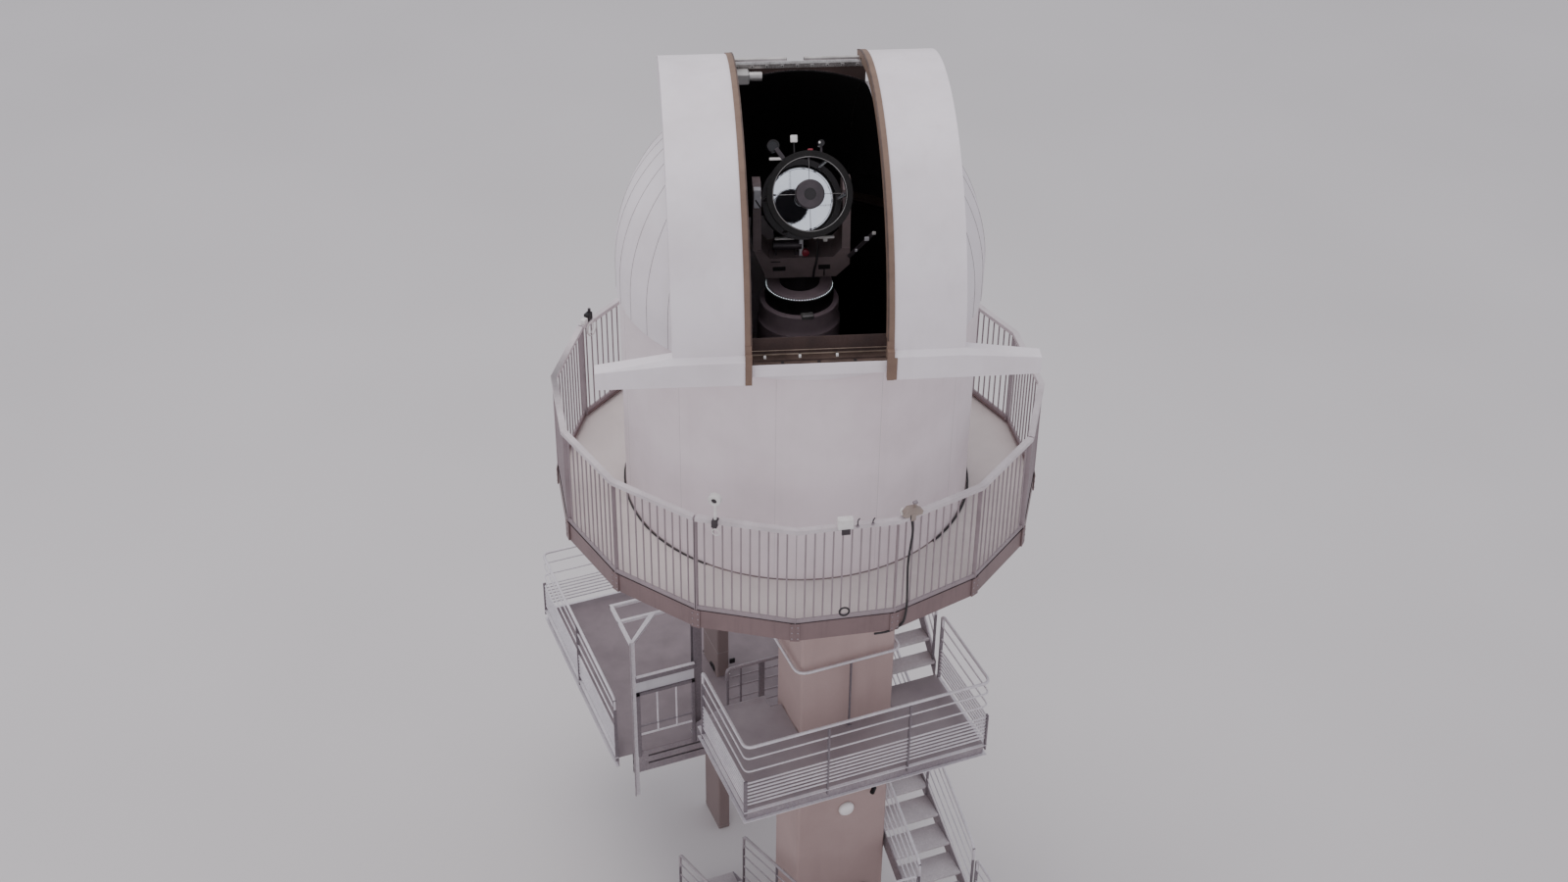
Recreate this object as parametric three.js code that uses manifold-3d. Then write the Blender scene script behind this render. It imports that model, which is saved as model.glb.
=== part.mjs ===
// Observatory dome on a stair tower, in millimetres, +Z up.
// The origin is on the ground on the dome's turning axis, under the concrete pier.
// X runs to the right along the tower's front, Y runs from the front to the back.
import * as THREE from 'three';
import { mergeVertices } from 'three/addons/utils/BufferGeometryUtils.js';
import Module from 'manifold-3d';

const wasm = await Module();
wasm.setup();

// Clearance between touching pieces
const GAP = 0.3;

// Levels above the ground
const FLIGHT_RISE = 1312;
const BACK_LANDING = 2 * FLIGHT_RISE;
const UPPER_LANDING = 3 * FLIGHT_RISE;
const DECK = 7064;
const WALKWAY = 4914;

// Dome and drum, heights above the deck
const DOME_CENTRE = 2560;
const DOME_R = 1750;
const SHELL = 14;
const DOME_BOTTOM = 2315;
const RING_SOLE = 2335;
const DRUM_R = 1725;
const DRUM_WALL = 60;
const SLIT_TURN = -17.2;

// Shutter leaves, measured from the dome's centre plane while open
const LEAF_INNER = 655;
const LEAF_WIDTH = 632;
const LEAF_R = 1903;
const LEAF_END = 118;
const SEAL_WIDTH = 60;
const ARM_REACH = 1965;
const ARM_BOTTOM = 2420;
const ARM_TOP = 2700;
const ARM_END_TOP = 2600;
const ARM_FRONT = 1950;
const ARM_DEPTH = 140;

// Gallery
const GALLERY_R = 2428;
const RAIL_R = 2444;
const RAIL_HEIGHT = 1144;
const FASCIA_TOP = 48;
const FASCIA_HEIGHT = 207;
const SIDES = 16;

// Concrete
const PIER = { x0: -116, x1: 970, y0: -530, y1: 142 };
const COLUMN = { x0: -125, x1: 20, y0: 2020, y1: 2520 };
const CONCRETE_TOP = DECK - 160;

// Stair
const STAIR_LEFT = -1116;
const STAIR_RIGHT = 1700;
const RIGHT_WIDTH = 710;
const LEFT_WIDTH = 850;
const STRINGER = 12;
const STRINGER_DEPTH = 240;
const RISERS = 8;
const FLOOR = 40;
const CHANNEL = 150;
const GUARD = 920;

// Telescope, heights above the deck
const TELESCOPE_TURN = -17.7;
const TELESCOPE_TILT = 32;
const TILT_AXIS = 3162;
const FORK_BASE = 2250;

// Shape helpers
function solid(geometry) {
  const plain = geometry.clone();
  plain.deleteAttribute('normal');
  plain.deleteAttribute('uv');
  const merged = mergeVertices(plain, 1e-3);
  const corners = merged.index.array;
  const kept = [];
  for (let i = 0; i < corners.length; i += 3) {
    const [a, b, c] = [corners[i], corners[i + 1], corners[i + 2]];
    if (a !== b && b !== c && c !== a) kept.push(a, b, c);
  }
  return new wasm.Manifold(new wasm.Mesh({
    numProp: 3,
    vertProperties: new Float32Array(merged.attributes.position.array),
    triVerts: new Uint32Array(kept),
  }));
}

function join(pieces) {
  return pieces.reduce((whole, piece) => whole.add(piece));
}

function cut(body, tools) {
  return tools.reduce((whole, tool) => whole.subtract(tool), body);
}

function box(x0, x1, y0, y1, z0, z1) {
  const shape = new THREE.BoxGeometry(x1 - x0, y1 - y0, z1 - z0);
  shape.translate((x0 + x1) / 2, (y0 + y1) / 2, (z0 + z1) / 2);
  return solid(shape);
}

function extruded(points, depth) {
  const outline = new THREE.Shape(points.map(([u, v]) => new THREE.Vector2(u, v)));
  return new THREE.ExtrudeGeometry(outline, { depth, bevelEnabled: false });
}

// An outline in X and Y, raised from z0 to z1
function prismZ(points, z0, z1) {
  return solid(extruded(points, z1 - z0).translate(0, 0, z0));
}

// An outline in Y and Z, carried from x0 to x1
function prismX(points, x0, x1) {
  const turn = new THREE.Matrix4().set(0, 0, 1, x0, 1, 0, 0, 0, 0, 1, 0, 0, 0, 0, 0, 1);
  return solid(extruded(points, x1 - x0).applyMatrix4(turn));
}

// An outline in X and Z, carried from y0 to y1
function prismY(points, y0, y1) {
  const turn = new THREE.Matrix4().set(1, 0, 0, 0, 0, 0, -1, y1, 0, 1, 0, 0, 0, 0, 0, 1);
  return solid(extruded(points, y1 - y0).applyMatrix4(turn));
}

function bar(from, to, radius, sides) {
  const a = new THREE.Vector3(...from);
  const b = new THREE.Vector3(...to);
  const way = b.clone().sub(a);
  const shape = new THREE.CylinderGeometry(radius, radius, way.length(), sides);
  const up = new THREE.Vector3(0, 1, 0);
  shape.applyQuaternion(new THREE.Quaternion().setFromUnitVectors(up, way.normalize()));
  shape.translate(...a.add(b).multiplyScalar(0.5).toArray());
  return solid(shape);
}

// A profile of radius and height turned round the Z axis; its first corner lies at -Y
function turned(profile, sides) {
  const points = profile.map(([r, h]) => new THREE.Vector2(r, h));
  return solid(new THREE.LatheGeometry(points, sides).rotateX(Math.PI / 2));
}

function tube(r0, r1, z0, z1, sides) {
  return turned([[r0, z0], [r1, z0], [r1, z1], [r0, z1], [r0, z0]], sides);
}

function disc(r, z0, z1, sides) {
  return turned([[0, z0], [r, z0], [r, z1], [0, z1]], sides);
}

function radians(degrees) {
  return degrees * Math.PI / 180;
}

// A point at a radius and an angle counted from -Y towards +X
function polar(r, degrees, z) {
  const a = radians(degrees);
  return [r * Math.sin(a), -r * Math.cos(a), z];
}

function turnedBy(body, degrees) {
  return body.rotate([0, 0, degrees]);
}

// Nodes
const group = new THREE.Group();
const domeGroup = new THREE.Group();
domeGroup.position.z = DECK;
domeGroup.rotation.z = radians(SLIT_TURN);
const forkGroup = new THREE.Group();
forkGroup.position.z = DECK;
forkGroup.rotation.z = radians(TELESCOPE_TURN);
const tubeGroup = new THREE.Group();
tubeGroup.position.z = TILT_AXIS;
tubeGroup.rotation.x = -radians(TELESCOPE_TILT);
forkGroup.add(tubeGroup);
group.add(domeGroup, forkGroup);

const PAINTS = {
  white: { color: 0xe9e5e2, roughness: 0.45, metalness: 0 },
  galvanised: { color: 0x9c969b, roughness: 0.5, metalness: 0.6 },
  concrete: { color: 0xa89d93, roughness: 0.9, metalness: 0 },
  deck: { color: 0xc9c2bf, roughness: 0.7, metalness: 0 },
  tan: { color: 0x8f7f6f, roughness: 0.8, metalness: 0 },
  black: { color: 0x1d1c1e, roughness: 0.5, metalness: 0.3 },
  steel: { color: 0xb6b4b2, roughness: 0.35, metalness: 0.9 },
  glass: { color: 0xdfe4ea, roughness: 0.05, metalness: 1 },
};

function place(name, body, paint, parent = group) {
  const data = body.getMesh();
  const shape = new THREE.BufferGeometry();
  shape.setAttribute('position', new THREE.BufferAttribute(data.vertProperties, 3));
  shape.setIndex(new THREE.BufferAttribute(data.triVerts, 1));
  const mesh = new THREE.Mesh(shape, new THREE.MeshStandardMaterial(PAINTS[paint]));
  mesh.name = name;
  parent.add(mesh);
}

// Concrete pier and rear column
place('main_pier', box(PIER.x0, PIER.x1, PIER.y0, PIER.y1, 0, CONCRETE_TOP), 'concrete');
place('rear_column', box(COLUMN.x0, COLUMN.x1, COLUMN.y0, COLUMN.y1, 0, CONCRETE_TOP), 'concrete');

// Gallery: slab with radial arms, deck with a hatch, fascia
const SLAB_R = 1790;
const DECK_PLATE = 50;
const FASCIA_PLATE = 12;
const HATCH_TURN = 180 - 33.75;
const HATCH = { r0: 1770, r1: 2290, half: 300 };
const frameTop = DECK - DECK_PLATE - GAP;
const frameBottom = CONCRETE_TOP + GAP;

function hatchHole(margin, z0, z1) {
  const hole = box(
    -HATCH.half - margin, HATCH.half + margin, -HATCH.r1 - margin, -HATCH.r0 + margin, z0, z1,
  );
  return turnedBy(hole, HATCH_TURN);
}

function galleryFrame() {
  const parts = [disc(SLAB_R, frameBottom, frameTop, 32)];
  for (let k = 0; k < SIDES; k += 1) {
    const arm = box(-30, 30, -GALLERY_R + FASCIA_PLATE + 14, -SLAB_R + 60, frameBottom, frameTop);
    parts.push(turnedBy(arm, 360 * k / SIDES));
  }
  return cut(join(parts), [hatchHole(0, frameBottom - 10, frameTop + 10)]);
}
place('gallery_frame', galleryFrame(), 'concrete');

const deckPlate = disc(GALLERY_R - FASCIA_PLATE - GAP, DECK - DECK_PLATE, DECK, SIDES);
place('gallery_deck', cut(deckPlate, [hatchHole(0, DECK - 100, DECK + 10)]), 'deck');

const fasciaBottom = DECK + FASCIA_TOP - FASCIA_HEIGHT;
function galleryFascia() {
  const band = tube(GALLERY_R - FASCIA_PLATE, GALLERY_R, fasciaBottom, DECK + FASCIA_TOP, SIDES);
  const parts = [band];
  for (let k = 0; k < SIDES; k += 1) {
    const joint = box(-45, 45, -GALLERY_R - 8, -GALLERY_R + 6, fasciaBottom, DECK + FASCIA_TOP);
    parts.push(turnedBy(joint, 360 * k / SIDES));
  }
  return join(parts);
}
place('gallery_fascia', galleryFascia(), 'white');

// Gallery railing: posts at the corners, cap, bottom rail and ten bars a side
const CAP_WIDTH = 64;
const CAP_THICK = 40;
const BARS_A_SIDE = 10;
const POST_FOOT = DECK + FASCIA_TOP + GAP;

function galleryRailing(first, count) {
  const parts = [];
  const mid = RAIL_R - CAP_WIDTH / 2;
  const start = 360 * first / SIDES;
  const span = 360 / SIDES;
  const capTop = DECK + RAIL_HEIGHT;
  for (let k = 0; k <= count; k += 1) {
    const end = k === 0 ? 1 : k === count ? -1 : 0;
    const shift = end * 8;
    const post = box(
      -4 + shift, 4 + shift, -RAIL_R + 14, -RAIL_R + 64, POST_FOOT, capTop - CAP_THICK + 4,
    );
    parts.push(turnedBy(post, start + span * k));
  }
  for (let k = 0; k < count; k += 1) {
    const a = start + span * k;
    const from = polar(mid, a, 0);
    const to = polar(mid, a + span, 0);
    const at = (t, z) => [from[0] + (to[0] - from[0]) * t, from[1] + (to[1] - from[1]) * t, z];
    for (let j = 0; j < BARS_A_SIDE; j += 1) {
      const t = (j + 1) / (BARS_A_SIDE + 1);
      parts.push(bar(at(t, DECK + 100), at(t, capTop - CAP_THICK + 4), 9, 4));
    }
    const ends = [k === 0 ? 0.006 : 0, k === count - 1 ? 0.994 : 1];
    const length = Math.hypot(to[0] - from[0], to[1] - from[1]);
    const rail = box(length * ends[0], length * ends[1], -10, 10, DECK + 80, DECK + 104);
    const heading = Math.atan2(to[1] - from[1], to[0] - from[0]) * 180 / Math.PI;
    parts.push(turnedBy(rail, heading).translate([from[0], from[1], 0]));
  }
  const cap = tube(RAIL_R - CAP_WIDTH, RAIL_R, capTop - CAP_THICK, capTop, SIDES);
  const inset = 0.25;
  const wedge = prismZ([
    [0, 0], polar(4000, start + inset, 0).slice(0, 2),
    polar(4000, start + span * count / 2, 0).slice(0, 2),
    polar(4000, start + span * count - inset, 0).slice(0, 2),
  ], capTop - 100, capTop + 100);
  parts.push(cap.intersect(wedge));
  return join(parts);
}
place('gallery_railing_front', galleryRailing(-2, 4), 'white');
place('gallery_railing_right', galleryRailing(2, 4), 'white');
place('gallery_railing_back', galleryRailing(6, 4), 'white');
place('gallery_railing_left', galleryRailing(10, 4), 'white');

// Drum: four wall segments, the back one with a doorway and its door
const DRUM_TOP = DECK + DOME_BOTTOM - 25;
const DOOR = { half: 400, height: 1950, sill: 120 };
const drumBase = DECK + GAP;

function drumSegment(turn) {
  const ring = tube(DRUM_R - DRUM_WALL, DRUM_R, drumBase, DRUM_TOP, 48);
  const reach = 2600;
  const inset = 0.01;
  const wedge = prismZ([
    [0, -1], polar(reach, -45 + inset, 0).slice(0, 2), polar(reach, 0, 0).slice(0, 2),
    polar(reach, 45 - inset, 0).slice(0, 2),
  ], drumBase - 10, DRUM_TOP + 10);
  return turnedBy(ring, -turn).intersect(wedge).rotate([0, 0, turn]);
}
const doorTop = DECK + DOOR.sill + DOOR.height;
const doorway = box(-DOOR.half, DOOR.half, 1500, 1900, DECK + DOOR.sill, doorTop);
place('drum_wall_front', drumSegment(0), 'white');
place('drum_wall_right', drumSegment(90), 'white');
place('drum_wall_back', cut(drumSegment(180), [doorway]), 'white');
place('drum_wall_left', drumSegment(-90), 'white');
const doorLeaf = tube(DRUM_R - 50, DRUM_R - 10, DECK + DOOR.sill + GAP, doorTop - GAP, 48)
  .intersect(box(-DOOR.half + GAP, DOOR.half - GAP, 1500, 1900, DECK, DRUM_TOP));
place('drum_door', doorLeaf, 'white');

// Room floor, and the ring with the rollers that carry the dome
const ROOM_R = DRUM_R - DRUM_WALL - 4;
place('room_floor', tube(402, ROOM_R, DECK + GAP, DECK + 60, 32), 'deck');
const ROLLERS = 8;
const ROLLER_R = 45;
const TRACK_R = 1590;
const rollerTop = DECK + RING_SOLE - GAP;

function trackRing() {
  const parts = [tube(TRACK_R, DRUM_R, DRUM_TOP + GAP, DECK + DOME_BOTTOM - 5, 32)];
  for (let k = 0; k < ROLLERS; k += 1) {
    const z = rollerTop - ROLLER_R;
    const wheel = bar([0, -TRACK_R - 50, z], [0, -TRACK_R - 10, z], ROLLER_R, 10);
    parts.push(turnedBy(wheel, 360 * (k + 0.5) / ROLLERS));
  }
  return join(parts);
}
place('track_ring', trackRing(), 'steel');

// Telescope pedestal
const PEDESTAL_R = 400;
const NECK_R = 330;
const pedestal = turned([
  [0, DECK + GAP], [PEDESTAL_R, DECK + GAP], [PEDESTAL_R, DECK + 1900], [382, DECK + 1950],
  [382, DECK + FORK_BASE - 160], [NECK_R, DECK + FORK_BASE - 140], [NECK_R, DECK + FORK_BASE - GAP],
  [0, DECK + FORK_BASE - GAP],
], 24);
place('telescope_pedestal', pedestal, 'black');

// Stair guards: posts, a top rail and two middle rails along a path of floor points
const TOP_RAIL = 24;
const MID_RAIL = 12;
const MID_RAILS = [560, 740];
const POST_SPACING = 1300;

function guard(path, foot) {
  const parts = [];
  for (let k = 0; k + 1 < path.length; k += 1) {
    const a = path[k];
    const b = path[k + 1];
    const span = Math.hypot(b[0] - a[0], b[1] - a[1]);
    const at = (t, up) => a.map((v, i) => v + (b[i] - v) * t + (i === 2 ? up : 0));
    const t0 = k > 0 ? -TOP_RAIL * 0.8 / span : 0;
    const t1 = k + 2 < path.length ? 1 + TOP_RAIL * 0.8 / span : 1;
    parts.push(bar(at(t0, GUARD - TOP_RAIL), at(t1, GUARD - TOP_RAIL), TOP_RAIL, 6));
    MID_RAILS.forEach((up) => parts.push(bar(at(0, up), at(1, up), MID_RAIL, 4)));
    const bays = Math.max(1, Math.round(span / POST_SPACING));
    const first = k === 0 ? 0 : 1;
    for (let j = first; j <= bays; j += 1) {
      const [x, y, z] = at(j / bays, 0);
      parts.push(box(x - 17, x + 17, y - 17, y + 17, z - foot, z + GUARD - 1.5 * TOP_RAIL));
    }
  }
  return parts;
}

// Edge channels under a guard path
function channels(path) {
  const parts = [];
  for (let k = 0; k + 1 < path.length; k += 1) {
    const [ax, ay, az] = path[k];
    const [bx, by] = path[k + 1];
    parts.push(box(Math.min(ax, bx) - 20, Math.max(ax, bx) + 20,
      Math.min(ay, by) - 20, Math.max(ay, by) + 20, az - CHANNEL, az));
  }
  return parts;
}

function edged(path) {
  return [...channels(path), ...guard(path, 60)];
}

// The upper front landing wraps the pier; the lower one lies in front of it
const FRONT = -1430;
const FRONT_FAR = -2330;
const EDGE = 20;
const END = 50;
const PIER_GAP = 20;
const RIGHT_X = STAIR_RIGHT - RIGHT_WIDTH;
const LEFT_INNER = STAIR_LEFT + LEFT_WIDTH;
const UPPER_FOOT = -200;
const LEFT_HEAD = -20;

function bracketsToPier(z, y0) {
  const y1 = PIER.y0 - GAP;
  return [150, 700].map((x) => box(x - 40, x + 40, y0 - 20, y1, z - CHANNEL, z - FLOOR + 5));
}

function upperFrontLanding() {
  const z = UPPER_LANDING;
  const floor = prismZ([
    [STAIR_LEFT, FRONT], [STAIR_RIGHT, FRONT], [STAIR_RIGHT, UPPER_FOOT],
    [PIER.x1 + PIER_GAP, UPPER_FOOT], [PIER.x1 + PIER_GAP, PIER.y0 - PIER_GAP],
    [PIER.x0 - PIER_GAP, PIER.y0 - PIER_GAP], [PIER.x0 - PIER_GAP, LEFT_HEAD],
    [STAIR_LEFT, LEFT_HEAD],
  ], z - FLOOR, z);
  const path = [
    [STAIR_LEFT + EDGE, LEFT_HEAD - 130, z], [STAIR_LEFT + EDGE, FRONT + EDGE, z],
    [STAIR_RIGHT - EDGE, FRONT + EDGE, z], [STAIR_RIGHT - EDGE, UPPER_FOOT - END, z],
  ];
  return join([floor, ...edged(path), ...bracketsToPier(z, PIER.y0 - 300)]);
}
place('landing_front_2', upperFrontLanding(), 'galvanised');

function lowerFrontLanding() {
  const z = FLIGHT_RISE;
  const floor = box(STAIR_LEFT, STAIR_RIGHT, FRONT_FAR, FRONT, z - FLOOR, z);
  const path = [
    [STAIR_LEFT + EDGE, FRONT - END, z], [STAIR_LEFT + EDGE, FRONT_FAR + EDGE, z],
    [STAIR_RIGHT - EDGE, FRONT_FAR + EDGE, z], [STAIR_RIGHT - EDGE, FRONT - END, z],
  ];
  const inner = [[LEFT_INNER + END, FRONT - EDGE, z], [RIGHT_X - END, FRONT - EDGE, z]];
  return join([floor, ...edged(path), ...edged(inner), ...bracketsToPier(z, FRONT)]);
}
place('landing_front_1', lowerFrontLanding(), 'galvanised');

// Back landing round the rear column
const BACK = 1134;
const BACK_FAR = 3994;
const BACK_WIDE = 1716;
const FRONT_BEAM = 330;
const STEEP = { x0: -738, x1: -260, risers: 6, depth: 300 };
const GATE_LEFT = -1500;

function columnHole(z) {
  const slack = 20;
  return box(COLUMN.x0 - slack, COLUMN.x1 + slack, COLUMN.y0 - slack, COLUMN.y1 + slack,
    z - 200, z + 20);
}

function columnBrackets(z) {
  const y = [COLUMN.y0 + 140, COLUMN.y0 + 260];
  return [
    box(COLUMN.x0 - 60, COLUMN.x0 - GAP, ...y, z - CHANNEL, z - FLOOR + 5),
    box(COLUMN.x1 + GAP, COLUMN.x1 + 60, ...y, z - CHANNEL, z - FLOOR + 5),
  ];
}

function backLanding() {
  const z = BACK_LANDING;
  const floor = box(-BACK_WIDE, BACK_WIDE, BACK, BACK_FAR, z - FLOOR, z);
  const beam = box(GATE_LEFT, RIGHT_X - END, BACK, BACK + 40, z - FRONT_BEAM, z);
  const path = [
    [-BACK_WIDE + EDGE, BACK + EDGE, z], [-BACK_WIDE + EDGE, BACK_FAR - EDGE, z],
    [BACK_WIDE - EDGE, BACK_FAR - EDGE, z], [BACK_WIDE - EDGE, BACK + END, z],
  ];
  const inner = [[STEEP.x1 + EDGE, BACK + EDGE, z], [RIGHT_X - END, BACK + EDGE, z]];
  const plate = cut(floor, [columnHole(z)]);
  return join([plate, beam, ...edged(path), ...edged(inner), ...columnBrackets(z)]);
}
place('landing_back', backLanding(), 'galvanised');

// Stair flight: treads between two stringers, with guards on the sides named
function flight({
  x0, x1, yLow, yHigh, zLow, rise, risers, sides, railStart = END, depth = STRINGER_DEPTH,
}) {
  const ahead = Math.sign(yHigh - yLow);
  const low = yLow + ahead * GAP;
  const high = yHigh - ahead * GAP;
  const going = (high - low) / risers;
  const riser = rise / risers;
  const slope = rise / (high - low);
  const top = zLow + rise;
  const parts = [];
  for (let k = 1; k <= risers; k += 1) {
    const nose = low + going * (k - 1);
    const ends = [nose, nose + going + (k < risers ? ahead * 20 : 0)];
    const z = zLow + riser * k;
    parts.push(box(x0 + 4, x1 - 4, Math.min(...ends), Math.max(...ends), z - 32, z));
  }
  const noseLine = (y) => zLow + riser + slope * (y - low);
  const outline = [
    [low, Math.max(noseLine(low) - depth, 0)], [low, noseLine(low)],
    [high - going, top], [high, top], [high, noseLine(high) - depth],
  ];
  if (zLow === 0) {
    outline.push([low + (depth - riser) / slope, 0]);
  }
  parts.push(prismX(outline, x0, x0 + STRINGER), prismX(outline, x1 - STRINGER, x1));
  sides.forEach((side) => {
    const x = side < 0 ? x0 + 18 : x1 - 18;
    const railAt = (y) => [x, y, noseLine(y) - riser / 2];
    parts.push(...guard([railAt(low + ahead * railStart), railAt(high - ahead * END)], 60));
  });
  return join(parts);
}

for (let k = 0; k < 2; k += 1) {
  const right = k === 1;
  place(`flight_${k + 1}`, flight({
    x0: right ? RIGHT_X : STAIR_LEFT,
    x1: right ? STAIR_RIGHT : LEFT_INNER,
    yLow: right ? FRONT : BACK,
    yHigh: right ? BACK : FRONT,
    zLow: k * FLIGHT_RISE,
    rise: FLIGHT_RISE,
    risers: RISERS,
    sides: [-1, 1],
    railStart: k === 0 ? 400 : END,
  }), 'galvanised');
}
place('flight_3', flight({
  x0: STEEP.x0,
  x1: STEEP.x1,
  yLow: BACK,
  yHigh: LEFT_HEAD,
  zLow: BACK_LANDING,
  rise: FLIGHT_RISE,
  risers: STEEP.risers,
  sides: [],
  depth: STEEP.depth,
}), 'galvanised');

// Steel post from the back landing up to the gallery, and the gate beside it
const STEEL_POST = { x0: -740, x1: -640, y0: BACK + 6, y1: BACK + 106, plate: 8 };
function steelPost() {
  const { x0, x1, y0, y1, plate } = STEEL_POST;
  const z0 = BACK_LANDING + GAP;
  const z1 = frameBottom - GAP;
  return join([
    box(x0, x1, y0, y0 + plate, z0, z1), box(x0, x1, y1 - plate, y1, z0, z1),
    box((x0 + x1 - plate) / 2, (x0 + x1 + plate) / 2, y0, y1, z0, z1),
  ]);
}
place('steel_post', steelPost(), 'galvanised');

const GATE_TOP = BACK_LANDING + 1686;
function stairGate() {
  const y = BACK - GAP;
  const right = STEEL_POST.x0 - 2;
  const left = GATE_LEFT + 55;
  const up = (height) => BACK_LANDING + height;
  const parts = [
    box(GATE_LEFT, GATE_LEFT + 60, y - 12, y, up(-680), GATE_TOP),
    box(left, right, y - 34, y, up(1096), up(1176)),
    box(left, right, y - 6, y, up(900), up(1100)),
    box(left, right, y - 30, y, up(886), up(926)),
    box(left, left + 40, y - 30, y, up(-60), up(926)),
    box(right - 40, right, y - 30, y, up(-60), up(926)),
    box(left, right, y - 27, y - 3, up(396), up(420)),
    box(left, right, y - 27, y - 3, up(266), up(290)),
  ];
  [left + 250, left + 480].forEach((x) => {
    parts.push(box(x - 11, x + 11, y - 26, y - 4, up(275), up(900)));
  });
  const far = BACK + 716;
  const side = STEEL_POST.x1 - 60;
  const low = GATE_TOP - 40;
  parts.push(
    box(GATE_LEFT, GATE_LEFT + 40, y - 12, far, low, GATE_TOP),
    box(GATE_LEFT, side + 40, far - 40, far, low, GATE_TOP),
    box(GATE_LEFT, side + 40, far - 330, far - 290, low, GATE_TOP),
    box(side, side + 40, STEEL_POST.y1 + GAP, far, low, GATE_TOP),
    prismZ([[GATE_LEFT + 2, y], [GATE_LEFT + 58, y], [-1060, BACK + 385], [-1060, BACK + 425],
      [-1116, BACK + 425]], low, GATE_TOP),
  );
  return join(parts);
}
place('stair_gate', stairGate(), 'galvanised');

// Upper flight and the walkway under the gallery, with the ladder through the hatch
const UPPER_RISERS = 5;
const UPPER_TOP = 700;
place('flight_upper', flight({
  x0: RIGHT_X + 10,
  x1: STAIR_RIGHT - 40,
  yLow: UPPER_FOOT,
  yHigh: UPPER_TOP,
  zLow: UPPER_LANDING,
  rise: WALKWAY - UPPER_LANDING,
  risers: UPPER_RISERS,
  sides: [1],
}), 'galvanised');

const WALK_END = 2150;
const WALK_WIDENS = 1290;
const WALK_INNER = 690;
function upperWalkway() {
  const floor = prismZ([
    [RIGHT_X, UPPER_TOP], [STAIR_RIGHT, UPPER_TOP], [STAIR_RIGHT, WALK_END],
    [WALK_INNER, WALK_END], [WALK_INNER, WALK_WIDENS], [RIGHT_X, WALK_WIDENS],
  ], WALKWAY - FLOOR, WALKWAY);
  const path = [
    [STAIR_RIGHT - EDGE, UPPER_TOP + END, WALKWAY], [STAIR_RIGHT - EDGE, WALK_END - EDGE, WALKWAY],
    [WALK_INNER + EDGE, WALK_END - EDGE, WALKWAY], [WALK_INNER + EDGE, WALK_WIDENS + EDGE, WALKWAY],
    [RIGHT_X + EDGE, WALK_WIDENS + EDGE, WALKWAY], [RIGHT_X + EDGE, UPPER_TOP + END, WALKWAY],
  ];
  const hung = [[RIGHT_X + EDGE, 760], [RIGHT_X + EDGE, 1310], [WALK_INNER + EDGE, 1310], [1690, 716]];
  const hangers = hung.map(([x, y]) => box(x - 15, x + 15, y - 15, y + 15, WALKWAY - CHANNEL,
    frameBottom - GAP));
  return join([floor, ...edged(path), ...hangers]);
}
place('upper_walkway', upperWalkway(), 'galvanised');

function hatchLadder() {
  const parts = [];
  const r = HATCH.r0 + 60;
  const half = 210;
  const low = WALKWAY + GAP;
  const high = DECK + 900;
  [-half, half].forEach((x) => parts.push(box(x - 8, x + 8, -r - 30, -r + 30, low, high)));
  for (let z = WALKWAY + 270; z < DECK + 100; z += 270) {
    parts.push(bar([-half, -r, z], [half, -r, z], 15, 4));
  }
  return turnedBy(join(parts), HATCH_TURN);
}
place('hatch_ladder', hatchLadder(), 'galvanised');

// Rail round the pier above the upper landing
function pierGuard() {
  const z = UPPER_LANDING + GUARD;
  const out = 70;
  const corners = [
    [PIER.x0 - out, PIER.y1 - 60, z], [PIER.x0 - out, PIER.y0 - out, z],
    [PIER.x1 + 40, PIER.y0 - out, z], [PIER.x1 + 40, PIER.y0 + 160, z],
  ];
  const parts = [];
  for (let k = 0; k < 3; k += 1) parts.push(bar(corners[k], corners[k + 1], 20, 8));
  const post = (x, y) => box(x - 12, x + 12, y - 12, y + 12, UPPER_LANDING + GAP, z);
  parts.push(post((PIER.x0 + PIER.x1) / 2, PIER.y0 - out));
  return join(parts);
}
place('pier_guard', pierGuard(), 'galvanised');

// Dome shell, in the dome's own frame: the slit looks towards -Y, X is across it
const SLIT_HALF = 640;
const SLIT_SILL = [2390, 2520];
const UPPER_RAIL_ANGLE = 109;
const UPPER_RAIL_R = 1800;
const railY = -UPPER_RAIL_R * Math.cos(radians(UPPER_RAIL_ANGLE));
const railZ = DOME_CENTRE + UPPER_RAIL_R * Math.sin(radians(UPPER_RAIL_ANGLE));
const RAIL_HALF = 24;
const RAIL_REACH = 1265;

function domeBody(r) {
  const steps = 10;
  const profile = [[0, DOME_CENTRE]];
  for (let k = 0; k < steps; k += 1) {
    const a = radians(90 * k / steps);
    profile.push([r * Math.cos(a), DOME_CENTRE + r * Math.sin(a)]);
  }
  profile.push([0, DOME_CENTRE + r]);
  return turned(profile, 48);
}

const shell = domeBody(DOME_R).subtract(domeBody(DOME_R - SHELL));
const slitBack = railY - RAIL_HALF;
const leftShell = shell.intersect(box(-3000, -SLIT_HALF, -3000, 3000, 0, 6000));
const rightShell = shell.intersect(box(SLIT_HALF, 3000, -3000, 3000, 0, 6000));
const backShell = shell.intersect(
  box(-SLIT_HALF + GAP, SLIT_HALF - GAP, slitBack, 3000, 0, 6000),
);
place('dome_shell_left', leftShell, 'white', domeGroup);
place('dome_shell_right', rightShell, 'white', domeGroup);
place('dome_shell_back', backShell, 'white', domeGroup);

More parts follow.
